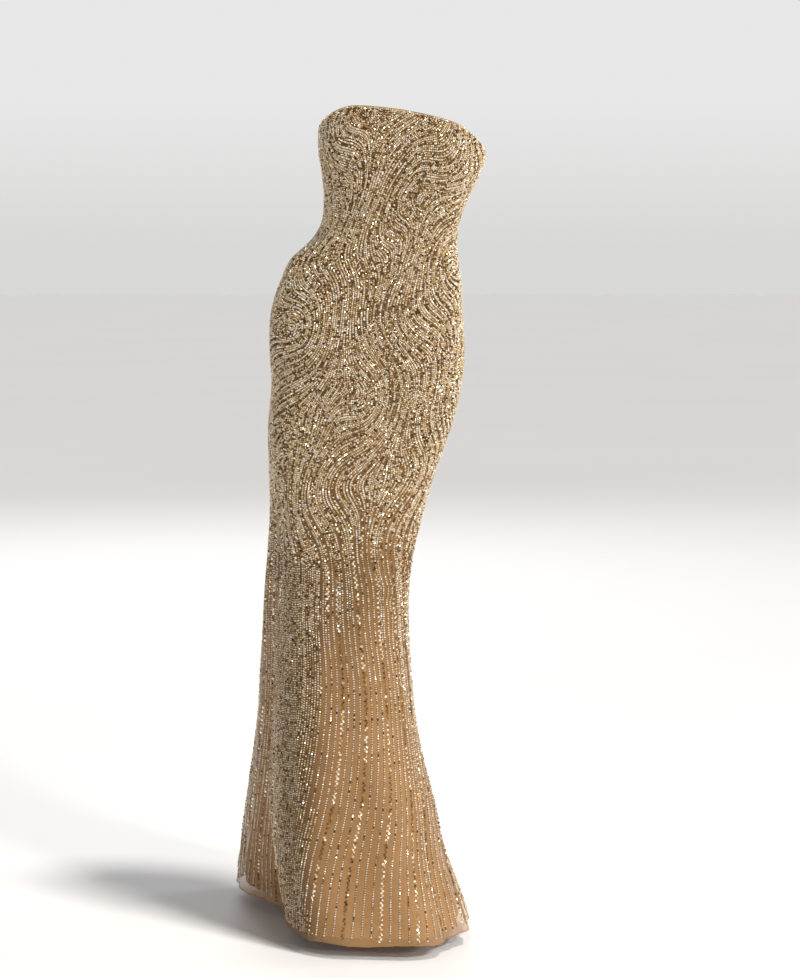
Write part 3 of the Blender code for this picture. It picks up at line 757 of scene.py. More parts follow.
NET = net_finish()
LINING_CLOTH = lining_finish()
BEAD_STOPS = (
    (0.00, (0.055, 0.028, 0.010)),
    (0.22, (0.200, 0.102, 0.030)),
    (0.42, (0.530, 0.345, 0.150)),
    (0.68, (0.860, 0.700, 0.460)),
    (1.00, (0.990, 0.950, 0.850)),
)
SPANGLE_STOPS = (
    (0.00, (0.060, 0.030, 0.010)),
    (0.40, (0.260, 0.140, 0.040)),
    (0.60, (0.820, 0.640, 0.380)),
    (1.00, (1.000, 0.940, 0.800)),
)
BEAD_GLASS = glass_finish("bead_glass", BEAD_STOPS, 0.35, 0.12)
SPANGLE = glass_finish("spangle_foil", SPANGLE_STOPS, 0.85, 0.14)
METAL = metal_finish()
THREAD = thread_finish("sewing_thread", (0.30, 0.17, 0.08), (0.52, 0.33, 0.17), 900.0)
# Near-black sewing thread under the skirt's rows, which is also painted shade between the beads.
ROW_THREAD_AND_SHADE = thread_finish("row_thread", (0.045, 0.022, 0.009), (0.13, 0.07, 0.028), 900.0)
TAPE = thread_finish("woven_tape", (0.22, 0.13, 0.06), (0.36, 0.22, 0.11), 500.0)

# ---------------------------------------------------------------- the sheets of cloth


def lining_low(side):
    x, y = on_circle(side)
    return LINING_HEM_LIFT + 2.0 * waves(x, y, 21, 90)


def lining_high(side):
    return top_edge(side) - LINING_TOP_DROP


OTHER_SIDE = 1 - SIDE_SEAM
NET_GAP = 0.0006  # share of the way round that each net stops short of its seam


def beside_zip(side, height):
    """Everywhere but the slot that the lining leaves for the zip's tape."""
    half = (ZIP_TAPE_WIDTH / 2 + ZIP_SLOT_SIDE_GAP) / round_length(height)
    low = edge_at(CENTRE_BACK) - ZIP_LENGTH - ZIP_SLOT_BELOW
    return (np.abs(side - CENTRE_BACK) > half) | (height < low)


def net_sheet(name, node, start, end, cells):
    mesh = cloth_mesh(name, NET_RINGS, start + NET_GAP, end - NET_GAP, cells, hem_height, top_edge)
    return piece(name, mesh, NET, replaces=(node,))


def lining_sheet(name, node, start, end, keep=None):
    mesh = cloth_mesh(name, LINING_SHEET, start, end, LINING_CELLS, lining_low, lining_high, keep)
    return piece(name, mesh, LINING_CLOTH, replaces=(node,))


net_front = net_sheet("net_front", "front", -SIDE_SEAM, SIDE_SEAM, FRONT_CELLS)
net_right = net_sheet("net_back_right", "back_right", SIDE_SEAM, CENTRE_BACK, BACK_CELLS)
net_left = net_sheet("net_back_left", "back_left", CENTRE_BACK, OTHER_SIDE, BACK_CELLS)
lining_front = lining_sheet("lining_front_cloth", "lining_front", -SIDE_SEAM, SIDE_SEAM)
lining_back = lining_sheet("lining_back_cloth", "lining_back", SIDE_SEAM, OTHER_SIDE, beside_zip)

# ---------------------------------------------------------------- rows of beads

ROWS_ROUND = 96
GRID_SIDES = 720
GRID_STEP = 4.0
BEAD_PITCH = 3.15
SKIRT_PITCH_MORE = 0.75
BEAD_FOOT, BEAD_TOP, BEAD_HIGH = 1.78, 1.10, 1.8  # the radii of its corners, and its height
SPANGLE_RADIUS, SPANGLE_CUP = 1.7, 0.35
EDGE_CLEAR = 3.6  # below the top edge, where the rows stop
ZIP_CLEAR = 4.5  # beside the centre back
SIDE_SEAM_CLEAR = 1.2
FINEST_CLASS = 4
FILL_ABOVE = 560.0
FILL_SHARE = 0.66
ROW_SHARE = 0.70  # the least that rows close up to, as a share of their spacing
COARSEST_CLASS = -2

# Places where the rows part and close again, like grain round a knot in wood. pull opens the rows, and turn
# bends them all to one side.
Knot = namedtuple("Knot", "side height wide tall pull turn")
KNOTS = table(Knot, (
    (-0.125, 1225, 44, 66, 0.92, 0.0),
    (0.150, 1150, 40, 58, 0.10, 4.2),
    (0.020, 1095, 44, 70, 0.95, 0.0),
    (-0.110, 985, 46, 64, 0.10, -5.0),
    (0.120, 925, 50, 76, 0.95, 0.0),
    (-0.030, 845, 44, 66, 0.10, 4.6),
    (-0.165, 770, 40, 66, 0.85, 0.0),
    (0.060, 1285, 38, 44, 0.90, 0.0),
    (0.320, 1195, 44, 62, 0.92, 0.0),
    (0.430, 1080, 46, 64, 0.10, 4.4),
    (0.310, 960, 50, 76, 0.95, 0.0),
    (0.420, 850, 44, 70, 0.10, -4.6),
    (-0.330, 1190, 42, 60, 0.10, 4.2),
    (-0.430, 1090, 46, 70, 0.95, 0.0),
    (-0.320, 955, 48, 70, 0.10, -5.0),
    (-0.420, 840, 44, 70, 0.92, 0.0),
))


# How far apart the rows lie, by height.
SPACING_HEIGHTS = (0, 80, 240, 375, 510, 640, 760, 850, 1400)
SPACINGS = (19, 17, 12.5, 9.4, 7.2, 5.7, 4.6, 4.0, 3.8)

# How far the rows lean to one side in the skirt, in rows.
LEAN_HEIGHTS = (0, 90, 160, 210, 260, 320, 380, 440, 500, 560, 1400)
LEAN_ROWS = (5.9, 4.0, 2.3, 1.1, 0.0, -1.0, -1.6, -1.6, -0.9, 0.0, 0.0)


def row_field(side, height):
    """A number whose whole values are the rows' lines: the rows' own count of the way round, bent by the sweeps
    and the knots."""
    around = round_length(height)
    upper = smooth_step((height - 560) / 260)
    value = ROWS_ROUND * side
    value = value + 7.0 * upper * np.sin(2 * np.pi * (height / 560 + 1.5 * side) + 0.9)
    value = value + 2.5 * upper * np.sin(2 * np.pi * (height / 230 - 3.0 * side))
    value = value + 1.2 * smooth_step((height - 470) / 180) * np.sin(2 * np.pi * (height / 700 + 1.0 * side))
    value = value + smooth_curve(LEAN_HEIGHTS, LEAN_ROWS, height)
    for k in KNOTS:
        x = around_distance(side, k.side) * around
        z = height - k.height
        near = np.exp(-((x / k.wide) ** 2) - (z / k.tall) ** 2)
        value = value + near * (k.turn - k.pull * x * ROWS_ROUND / around)
    return value


def row_spacing(height, side=None):
    """How far apart the rows lie, by height and in the skirt also by side, in millimetres."""
    if side is not None:
        return row_spacing(height) * (1 - 0.52 * gathering(side, height))
    return np.interp(height, SPACING_HEIGHTS, SPACINGS)


def contour_lines(field, level, keep):
    """Lines of one level through the grid's cells that are kept, as lists of points in grid steps."""
    above = field > level
    rows, columns = field.shape
    corners = above[:-1, :-1].astype(np.int8) + above[:-1, 1:] + above[1:, :-1] + above[1:, 1:]
    cells = np.argwhere((corners > 0) & (corners < 4) & keep)
    joins = {}
    for i, j in cells.tolist():
        a, b, c, d = above[i, j], above[i, j + 1], above[i + 1, j + 1], above[i + 1, j]
        crossed = []
        if a != b:
            crossed.append((0, i, j))
        if b != c:
            crossed.append((1, i, j + 1))
        if c != d:
            crossed.append((0, i + 1, j))
        if d != a:
            crossed.append((1, i, j))
        for k in range(0, len(crossed), 2):
            joins.setdefault(crossed[k], []).append(crossed[k + 1])
            joins.setdefault(crossed[k + 1], []).append(crossed[k])
    lines = []
    ends = [e for e, others in joins.items() if len(others) == 1]
    for start in ends + list(joins):
        if start not in joins:
            continue
        line, at = [start], start
        while at in joins:
            others = joins.pop(at)
            following = [o for o in others if o in joins]
            if not following:
                if len(line) > 3 and start in others and at != start:
                    line.append(start)
                break
            at = following[0]
            line.append(at)
        if len(line) < 3:
            continue
        edge = np.array(line)
        i, j = edge[:, 1], edge[:, 2]
        upright = edge[:, 0] == 1
        i2, j2 = np.where(upright, i + 1, i), np.where(upright, j, j + 1)
        f1, f2 = field[i, j], field[i2, j2]
        t = (level - f1) / (f2 - f1)
        lines.append(np.stack([i + t * (i2 - i), j + t * (j2 - j)], axis=1))
    return lines


def bead_rows():
    """Every row as (side, height) points with its level's class."""
    rng = np.random.default_rng(3)
    side = np.linspace(-0.5, 0.5, GRID_SIDES + 1)
    height = np.arange(0.0, FRONT_LENGTH + 40, GRID_STEP)
    field = row_field(side[None, :], height[:, None])
    by_height, by_side = np.gradient(field, height, side)
    steep = np.hypot(by_side / round_length(height)[:, None], by_height)
    steep = np.maximum((steep[:-1, :-1] + steep[1:, 1:] + steep[:-1, 1:] + steep[1:, :-1]) / 4, 1e-4)
    wanted = row_spacing(height[:-1, None] + GRID_STEP / 2, side[None, :-1])
    ragged = 0.2 + 0.8 * smooth_step((850 - height[:-1]) / 110)[:, None]
    ragged = ragged + 0.6 * np.exp(-(((height[:-1] - 590) / 90) ** 2))[:, None]
    rows = []
    for grade in range(COARSEST_CLASS, FINEST_CLASS + 1):
        step = 2.0**-grade
        levels = np.arange(np.floor(field.min() / step), field.max() / step + 1)
        if grade > COARSEST_CLASS:
            levels = levels[levels % 2 == 1]
        for level in levels * step:
            need = ROW_SHARE * wanted * (1 + rng.uniform(-0.26, 0.24) * ragged)
            keep = step / steep >= need
            if not keep.any():
                continue
            for line in contour_lines(field, level + 1e-6, keep):
                rows.append((np.interp(line[:, 1], np.arange(len(side)), side), line[:, 0] * GRID_STEP, level))
    spacing = ROW_SHARE * wanted * np.ones_like(steep)
    local = np.log2(1.0 / (spacing * steep))
    return rows, local


def bead_pitch(height):
    """The step from bead to bead along a row, wider in the skirt, in millimetres."""
    return BEAD_PITCH + SKIRT_PITCH_MORE * smooth_step((700 - height) / 120)


def along_row(side, height, start):
    """The row's places at the beads' pitch along the net, from a first place given as a share of the pitch."""
    points = on_rings(NET_RINGS, side, height) / MM
    length = np.linalg.norm(np.diff(points, axis=0), axis=1)
    along = np.concatenate([[0.0], np.cumsum(length)])
    counted = np.concatenate([[0.0], np.cumsum(length / bead_pitch((height[1:] + height[:-1]) / 2))])
    at = np.interp(np.arange(start, counted[-1]), counted, along)
    return np.interp(at, along, side), np.interp(at, along, height), at


def bead_sets():
    """The places of all beads and spangles: side, height, a stretch value for painted glints, the row's number with
    each place's order, and the room beside the row.
    """
    rng = np.random.default_rng(17)
    rows, local = bead_rows()
    beads, spangles = [], []
    for number, (side, height, level) in enumerate(rows):
        s, h, at = along_row(side, height, rng.uniform())
        if len(s) < 3:
            continue
        i = np.clip((h / GRID_STEP).astype(int), 0, local.shape[0] - 1)
        j = np.clip(((s + 0.5) * GRID_SIDES).astype(int), 0, local.shape[1] - 1)
        finest = np.floor(local[i, j] + 0.15)
        room = ROW_SHARE * row_spacing(h) * 2.0 ** (local[i, j] - finest)
        order = np.round(level * 2.0**finest)
        spangled = (order % 4 == 0) & (np.abs(order - level * 2.0**finest) < 0.01) & (gathering(s, h) < 0.4)
        margin = hem_margin(s, level)
        inside_edges = (h > margin) & (h < top_edge(s) - EDGE_CLEAR) & clear_of_seams(s, h)
        # Stretches along the row that are lit up or left dark as painted glints; the value lightens or darkens the
        # beads and spangles there.
        stretch = rng.uniform(0, 100)
        quick = 1.0 + 1.3 * smooth_step((h - 640) / 160)
        glint_stretch = np.interp(at * quick + stretch * 10, STRETCH_AT, STRETCH_VALUE, period=STRETCH_AT[-1])
        bare = spangled & (h > 640) & (glint_stretch < 0.10)
        for chosen, target in ((inside_edges & ~spangled, beads), (inside_edges & spangled & ~bare, spangles)):
            if chosen.any():
                line = number * 10000.0 + np.arange(len(s))
                target.append(np.stack([s, h, glint_stretch, line, room], axis=1)[chosen])
    return np.concatenate(beads), np.concatenate(spangles)


# Lengths and values of the stretches of painted glints along the rows.
STRETCH_AT = np.concatenate([[0.0], np.cumsum(np.random.default_rng(23).uniform(14, 55, 60))])
STRETCH_VALUE = np.random.default_rng(29).uniform(0, 1, 61)
STRETCH_VALUE[-1] = STRETCH_VALUE[0]


def hem_margin(side, level):
    """How far above the hem a row ends: unevenly, and further up on the trailing side."""
    side = (side + 0.5) % 1.0 - 0.5
    back = smooth_step((np.abs(side) - 0.20) / 0.08)
    uneven = 4.0 * np.sin(level * 12.9898) + 3.0 * np.sin(level * 78.233)
    return 9.0 + 14.0 * back + uneven * (0.5 + back)


def clear_of_seams(side, height):
    around = round_length(height)
    open_side = np.abs(np.abs(side) - SIDE_SEAM) * around > SIDE_SEAM_CLEAR
    return open_side & ((CENTRE_BACK - np.abs(side)) * around > ZIP_CLEAR)


def frames_at(side, height, direction):
    """Place, along, across and outward directions at points of the net, along a direction in (side, height)."""
    place, out = on_net(side, height)
    small = 0.5
    ahead = on_rings(NET_RINGS, side + direction[:, 0] * small, height + direction[:, 1] * small)
    along = ahead - place
    along -= out * (along * out).sum(1, keepdims=True)
    along /= np.linalg.norm(along, axis=1, keepdims=True)
    return place, along, np.cross(out, along), out


def flow_direction(side, height):
    """The rows' own direction at each place, as a step in side and height of about a millimetre."""
    around = round_length(height)
    ds, dh = 0.5 / around, 0.5
    across = row_field(side + ds, height) - row_field(side - ds, height)
    up = row_field(side, height + dh) - row_field(side, height - dh)
    length = np.maximum(np.hypot(across, up), 1e-6)
    return np.stack([-up / length / around, across / length], axis=1)


def stamped(name, finish, template, faces, where, tilt, spin, lift, size, wide, tones):
    """One mesh of many copies of a small form, each set on the net with its own turn, size and tone."""
    place, along, across, out = where
    count, corners = len(place), len(template)
    c, s = np.cos(spin)[:, None], np.sin(spin)[:, None]
    u = along * c + across * s
    v = across * c - along * s
    ct, st = np.cos(tilt[:, 0])[:, None], np.sin(tilt[:, 0])[:, None]
    v, w = v * ct + out * st, out * ct - v * st
    ct, st = np.cos(tilt[:, 1])[:, None], np.sin(tilt[:, 1])[:, None]
    u, w = u * ct + w * st, w * ct - u * st
    stretch = np.stack([np.ones(count), wide, np.ones(count)], axis=1)[:, None, :]
    t = template[None, :, :] * size[:, None, None] * MM * stretch
    points = place[:, None, :] + out[:, None, :] * (lift * MM)[:, None, None]
    points = points + t[..., 0:1] * u[:, None, :] + t[..., 1:2] * v[:, None, :] + t[..., 2:3] * w[:, None, :]
    shifts = (np.arange(count) * corners)[:, None, None]
    all_faces = (faces[None] + shifts).reshape(-1, faces.shape[1])
    flat = (template[:, :2] - template[:, :2].min(0)) / np.ptp(template[:, :2], axis=0).max()
    plan = cell_plan(count, 0.2 + 0.6 * flat[None])
    mesh = mesh_of(name, points.reshape(-1, 3), all_faces, False, np.repeat(tones, corners), plan)
    piece(name, mesh, finish)


def bead_form():
    """A cut bead: a square foot, and a smaller square top turned by an eighth of a turn."""
    foot = np.pi / 4 + np.arange(4) * np.pi / 2
    top = np.arange(4) * np.pi / 2
    low = np.stack([BEAD_FOOT * np.cos(foot), BEAD_FOOT * np.sin(foot), np.zeros(4)], axis=1)
    high = np.stack([BEAD_TOP * np.cos(top), BEAD_TOP * np.sin(top), np.full(4, BEAD_HIGH)], axis=1)
    faces = []
    for k in range(4):
        faces.append((k, (k + 1) % 4, 4 + (k + 1) % 4))
        faces.append((k, 4 + (k + 1) % 4, 4 + k))
    faces += [(4, 5, 6), (4, 6, 7)]
    return np.concatenate([low, high]), np.array(faces)


def spangle_form():
    """A thin round spangle, pressed into a shallow cup."""
    angle = np.arange(7) * 2 * np.pi / 7
    rim = np.stack([np.cos(angle), np.sin(angle), np.zeros(7)], axis=1) * SPANGLE_RADIUS + [0, 0, SPANGLE_CUP]
    faces = [(7, k, (k + 1) % 7) for k in range(7)]
    return np.concatenate([rim, [[0.0, 0.0, 0.0]]]), np.array(faces)


BEADS, SPANGLES = bead_sets()


def tree_of(points):
    tree = KDTree(len(points))
    for k, point in enumerate(points.tolist()):
        tree.insert(point, k)
    tree.balance()
    return tree


def cells_near(cells, at):
    """What is kept in a cell and the 26 round it."""
    steps = (-1, 0, 1)
    return [q for a in steps for b in steps for c in steps for q in cells.get((at[0] + a, at[1] + b, at[2] + c), ())]


def filling_beads():
    """Loose beads in the small places that the rows leave open."""
    rng = np.random.default_rng(31)
    placed = np.concatenate([BEADS[:, :2], SPANGLES[:, :2]])
    placed = placed[placed[:, 1] > FILL_ABOVE - 20]
    tree = tree_of(on_rings(NET_RINGS, placed[:, 0], placed[:, 1]) / MM)
    found, cells = [], {}
    for h in np.arange(FILL_ABOVE, FRONT_LENGTH + 30, 1.9):
        around = float(round_length(h))
        side = np.arange(-0.496, 0.496, 1.9 / around)
        side = side + rng.uniform(-0.5, 0.5, len(side)) / around
        level = h + rng.uniform(-0.5, 0.5, len(side))
        inside_edges = (level < top_edge(side) - EDGE_CLEAR) & clear_of_seams(side, level)
        side, level = side[inside_edges], level[inside_edges]
        free = (FILL_SHARE + 0.3 * smooth_step((780 - h) / 200)) * float(row_spacing(h))
        for s, z, point in zip(side.tolist(), level.tolist(), (on_rings(NET_RINGS, side, level) / MM).tolist()):
            if tree.find(point)[2] < free:
                continue
            cell = tuple(int(c // 3) for c in point)
            if any((Vector(q) - Vector(point)).length < 2.8 for q in cells_near(cells, cell)):
                continue
            cells.setdefault(cell, []).append(point)
            found.append((s, z, rng.uniform()))
    return np.array(found)


def edge_beads():
    """The row of beads that follows the top edge."""
    side = np.linspace(-0.5, 0.5, 1441)
    height = top_edge(side) - 2.0
    s, h, _ = along_row(side, height, 0.3)
    keep = (CENTRE_BACK - np.abs(s)) * round_length(h) > ZIP_CLEAR
    return s[keep], h[keep]


def row_room(side, height, direction):
    """How much width each bead has between the beads on both sides of its row, in millimetres."""
    place, along, across, _ = frames_at(side, height, direction)
    place = place / MM
    others = np.concatenate([place, on_rings(NET_RINGS, SPANGLES[:, 0], SPANGLES[:, 1]) / MM])
    tree = tree_of(others)
    near = np.array([[found[1] for found in tree.find_n(point, 10)] for point in place.tolist()])
    away = others[near] - place[:, None, :]
    ahead = (away * along[:, None, :]).sum(2)
    beside = (away * across[:, None, :]).sum(2)
    same_line = np.abs(ahead) < 2.0
    right = np.where(same_line & (beside > 1.0), beside, 5.0).min(1)
    left = np.where(same_line & (beside < -1.0), -beside, 5.0).min(1)
    return 0.55 * np.minimum(left, right) + 0.45 * np.maximum(left, right)


def set_beads():
    rng = np.random.default_rng(41)
    form, faces = bead_form()
    side, height, glint_stretch = np.concatenate([BEADS[:, :3], filling_beads()]).T
    tone = 0.64 + 0.22 * (glint_stretch - 0.5) + rng.normal(0, 0.18, len(side))
    # A little paler in the skirt; darker in the skirt's folds where the rows crowd, which is painted shade.
    tone = tone + 0.08 * smooth_step((620 - height) / 120) - 0.16 * gathering(side, height)
    tone = np.where(rng.uniform(size=len(side)) < 0.045, rng.uniform(0.95, 1.0, len(side)), tone)
    tone = np.where(rng.uniform(size=len(side)) < 0.04, rng.uniform(0.0, 0.2, len(side)), tone)
    direction = flow_direction(side, height)
    es, eh = edge_beads()
    step = np.stack([1 / round_length(eh), np.zeros(len(es))], axis=1)
    side, height = np.concatenate([side, es]), np.concatenate([height, eh])
    direction = np.concatenate([direction, step])
    tone = np.clip(np.concatenate([tone, 0.62 + rng.normal(0, 0.16, len(es))]), 0, 1)
    wide = np.clip(0.80 * row_room(side, height, direction) / 2.52, 0.80, 1.28)
    wide = np.minimum(wide, 1.0 + 0.5 * smooth_step((height - 560) / 220))
    count = len(side)
    tilt = rng.normal(0, 0.26, (count, 2))
    spin = rng.normal(0, 0.22, count)
    size = (1.0 - 0.04 * smooth_step((780 - height) / 200)) * rng.normal(1.0, 0.06, count)
    low = height < 700
    groups = {
        "beads_front_upper": (np.abs(side) <= SIDE_SEAM) & ~low,
        "beads_front_lower": (np.abs(side) <= SIDE_SEAM) & low,
        "beads_back_right": side > SIDE_SEAM,
        "beads_back_left": side < -SIDE_SEAM,
    }
    for name, chosen in groups.items():
        where = frames_at(side[chosen], height[chosen], direction[chosen])
        lift = np.full(chosen.sum(), 0.05)
        looks = (tilt[chosen], spin[chosen], lift, size[chosen], wide[chosen], tone[chosen])
        stamped(name, BEAD_GLASS, form, faces, where, *looks)


def set_spangles():
    rng = np.random.default_rng(43)
    form, faces = spangle_form()
    side, height, glint_stretch, _, room = SPANGLES.T
    count = len(side)
    dense = smooth_step((height - 480) / 200)
    # Spangles where the stretch is lit get a pale tone as painted glints; the others get a dark tone, a little
    # lighter higher up.
    bright = glint_stretch > 0.48 + 0.24 * dense
    tone = np.where(bright, rng.normal(0.78, 0.20, count), rng.normal(0.32, 0.15, count) + 0.22 * dense)
    tone = np.where(rng.uniform(size=count) < 0.12 * dense, rng.uniform(0.0, 0.25, count), tone)
    direction = flow_direction(side, height)
    zigzag = np.where(np.arange(count) % 2 == 0, 1.0, -1.0)
    skirt = smooth_step((760 - height) / 160)
    shift = zigzag * (0.35 + 0.75 * skirt)
    side = side + shift / round_length(height)
    tilt = np.stack([zigzag * 0.35 + rng.normal(0, 0.22, count), rng.normal(0.25, 0.22, count)], axis=1)
    spin = rng.uniform(0, 2 * np.pi / 7, count)
    size = (0.88 + 0.20 * skirt) * rng.normal(1.0, 0.08, count) * np.clip(room / 3.6, 0.8, 1.2)
    front = np.abs(side) <= SIDE_SEAM
    for name, chosen in (("spangles_front", front), ("spangles_back", ~front)):
        where = frames_at(side[chosen], height[chosen], direction[chosen])
        lift = rng.uniform(0.45, 0.8, chosen.sum())
        looks = (tilt[chosen], spin[chosen], lift, size[chosen], np.ones(chosen.sum()), np.clip(tone[chosen], 0, 1))
        stamped(name, SPANGLE, form, faces, where, *looks)


def sew_rows():
    """The thread between the beads of each row in the skirt, as a narrow dark ribbon on the net; its width and
    near-black colour also paint the shade that the beads cast between them.
    """
    line = BEADS[:, 3]
    low = (np.diff(line) == 1) & (BEADS[1:, 1] < 720)
    first = np.flatnonzero(low)
    front = np.abs(BEADS[first, 0]) <= SIDE_SEAM
    for name, chosen in (("row_thread_front", front), ("row_thread_back", ~front)):
        used = np.unique(np.concatenate([first[chosen], first[chosen] + 1]))
        side, height = BEADS[used, 0], BEADS[used, 1]
        place, _, across, out = frames_at(side, height, flow_direction(side, height))
        half = (1.4 + 0.2 * np.sin(used * 2.4))[:, None] * MM
        points = np.stack([place - across * half, place + across * half], axis=1) + out[:, None, :] * 0.12 * MM
        at = np.searchsorted(used, first[chosen])
        faces = np.stack([2 * at, 2 * at + 1, 2 * at + 3, 2 * at + 2], axis=1)
        plan = np.stack([np.tile([0.0, 1.0], len(used)), np.repeat(np.arange(len(used)) / len(used), 2)], axis=1)
        piece(name, mesh_of(name, points.reshape(-1, 3), faces, True, plan=plan), ROW_THREAD_AND_SHADE)


set_beads()
set_spangles()
sew_rows()

# ---------------------------------------------------------------- edges, sewing and zip


def tube_mesh(name, path, radius, sides=6, closed=False):
    """A thin round strand along a path of points, in metres."""
    count = len(path)
    if closed:
        tangent = np.roll(path, -1, axis=0) - np.roll(path, 1, axis=0)
    else:
        tangent = np.gradient(path, axis=0)
    tangent /= np.linalg.norm(tangent, axis=1, keepdims=True)
    guide = np.where(np.abs(tangent[:, 2:3]) > 0.9, np.array([[1.0, 0, 0]]), np.array([[0, 0, 1.0]]))
    first = np.cross(tangent, guide)
    first /= np.linalg.norm(first, axis=1, keepdims=True)
    second = np.cross(tangent, first)
    angle = np.arange(sides) * 2 * np.pi / sides
    ring = first[:, None, :] * np.cos(angle)[None, :, None] + second[:, None, :] * np.sin(angle)[None, :, None]
    points = (path[:, None, :] + ring * radius * MM).reshape(-1, 3)
    rows = count if closed else count - 1
    i = np.arange(rows)[:, None]
    k = np.arange(sides)[None, :]
    after, turn = (i + 1) % count, (k + 1) % sides
    corners = (i * sides + k, i * sides + turn, after * sides + turn, after * sides + k)
    faces = np.stack([np.broadcast_to(c, (rows, sides)).ravel() for c in corners], axis=1)
    plan = [np.repeat(np.linspace(0.01, 0.99, count), sides), np.tile(np.linspace(0.1, 0.9, sides), count)]
    return mesh_of(name, points, faces, True, plan=np.stack(plan, axis=1))


def rolled_hem():
    """The net's narrow rolled hem, right round."""
    side = np.linspace(0, 1, 1400, endpoint=False)
    path, _ = on_net(side, hem_height(side) + 0.5)
    piece("net_hem_roll", tube_mesh("net_hem_roll", path, 0.75, closed=True), NET)


# Across the turning: how far inwards from the net and below the edge each of its lines lies.
TURNING_LINES = (
    (0.0, 0.0), (0.3, -0.9), (1.2, -1.3), (2.3, -0.9), (2.9, 0.2), (3.2, 2.5), (3.4, 5.0), (3.5, TOP_FOLD_DEPTH),
)


def top_turning(name, start, end):
    """The net's top edge, turned in over the lining's and down inside it."""
    side = np.linspace(start, end, 220)
    edge = top_edge(side)
    outer, out = on_net(side, edge)
    rows = []
    for inward, below in TURNING_LINES:
        base, _ = on_net(side, edge - max(below, 0.0))
        flat = out * [1, 1, 0]
        flat /= np.linalg.norm(flat, axis=1, keepdims=True)
        rows.append(base - flat * inward * MM + np.array([0, 0, min(below, 0.0) * -MM * 0.6]))
    points = np.array(rows)
    size = points.shape[:2]
    mesh = mesh_of(name, points.reshape(-1, 3), grid_faces(*size), True, plan=grid_plan(*size))
    piece(name, mesh, BINDING)


def binding_finish():
    """The turned edge: two layers of net, so it isn't sheer."""
    n = Nodes("turned_net")
    cloud = n.noise(40.0, 4.0)
    colour = n.ramp(cloud, ((0.3, (0.27, 0.155, 0.068)), (0.7, (0.40, 0.245, 0.118))))
    n.surface(colour, n.math("MULTIPLY_ADD", cloud, 0.2, 0.5))
    n.set(sheen_weight=0.2)
    n.bump(n.noise(2200.0, 1.0), 0.3, 0.0002)
    return n.material


BINDING = binding_finish()


def stitches(name, side, height, length):
    """Short stitches at the places given, lying along the line through them, on the lining's inner face."""
    points = on_rings(LINING_SHEET, side, height)
    normals = -read_grid(LINING_NORMALS, side, height)
    along = np.gradient(points, axis=0)
    along /= np.linalg.norm(along, axis=1, keepdims=True)
    across = np.cross(normals, along)
    shares = np.linspace(-0.5, 0.5, 4)
    rise = np.array([0.0, 0.28, 0.28, 0.0])
    ring = [(0.16, 0.0), (0.0, 0.16), (-0.16, 0.0), (0.0, -0.16)]
    rows = []
    for share, up in zip(shares, rise):
        for a, b in ring:
            rows.append(points + (along * share * length + across * a + normals * (up + b)) * MM)
    points = np.stack(rows, axis=1)
    k, r = np.meshgrid(np.arange(3), np.arange(4), indexing="ij")
    after = (r + 1) % 4
    faces = np.stack([k * 4 + r, k * 4 + after, (k + 1) * 4 + after, (k + 1) * 4 + r], axis=-1).reshape(-1, 4)
    count = len(points)
    all_faces = (faces[None] + (np.arange(count) * 16)[:, None, None]).reshape(-1, 4)
    inner = np.linspace(0.2, 0.8, 4)
    plan = cell_plan(count, np.stack([np.repeat(inner, 4), np.tile(inner, 4)], axis=1)[None])
    piece(name, mesh_of(name, points.reshape(-1, 3), all_faces, True, plan=plan), THREAD)


def line_of(side, height, pitch):
    """Even places along a line on the lining."""
    points = on_rings(LINING_SHEET, side, height) / MM
    along = np.concatenate([[0.0], np.cumsum(np.linalg.norm(np.diff(points, axis=0), axis=1))])
    at = np.arange(pitch / 2, along[-1], pitch)
    return np.interp(at, along, side), np.interp(at, along, height)


def sewing():
    side = np.linspace(0, 1, 1500)
    s, h = line_of(side, lining_high(side) - TOP_FOLD_DEPTH - 0.5, 3.4)
    keep = np.abs(s - CENTRE_BACK) * round_length(h) > 13
    stitches("stitches_top", s[keep], h[keep], 2.4)
    s, h = line_of(side, lining_low(side) + 16.0, 4.2)
    stitches("stitches_lining_hem", s, h, 2.8)
    low = edge_at(CENTRE_BACK) - ZIP_LENGTH
    height = np.linspace(low, edge_at(CENTRE_BACK) - 8, 400)
    for name, way in (("stitches_zip_right", -1), ("stitches_zip_left", 1)):
        beside = CENTRE_BACK + way * (ZIP_TAPE_WIDTH / 2 + 2.0) / round_length(height)
        s, h = line_of(beside, height, 3.2)
        stitches(name, s, h, 2.4)


def seam_rolls():
    """The seams' turned edges, drawn in a little, at the sides and the centre back."""
    for name, side, shift in (
        ("seam_side_right", SIDE_SEAM, 0.0),
        ("seam_side_left", -SIDE_SEAM, 0.0),
        ("seam_back_right", CENTRE_BACK, -0.75),
        ("seam_back_left", CENTRE_BACK, 0.75),
    ):
        top = edge_at(side)
        height = np.linspace(3.0, top - 0.5, 520)
        around = np.full(520, side) + shift / round_length(height)
        path, out = on_net(around, height)
        path = path - out * 0.35 * MM
        piece(name, tube_mesh(name, path, 0.55 if shift else 0.45), BINDING)


def zip_coil():
    """The zip's fine coil, behind the closed centre back seam."""
    edge = edge_at(CENTRE_BACK)
    turns = 330
    steps = turns * 8
    height = np.linspace(edge - ZIP_LENGTH + 4, edge - 14, steps)
    angle = np.linspace(0, 2 * np.pi * turns, steps)
    side = np.full(steps, CENTRE_BACK) + 1.7 * np.cos(angle) / round_length(height)
    path, out = on_rings(TAPE_RINGS, side, height), read_grid(normals_of(TAPE_RINGS), side, height)
    path = path + out * ((0.05 + 0.3 * np.sin(angle)) * MM)[:, None]
    piece("zip_coil", tube_mesh("zip_coil", path, 0.17, sides=4), TAPE)


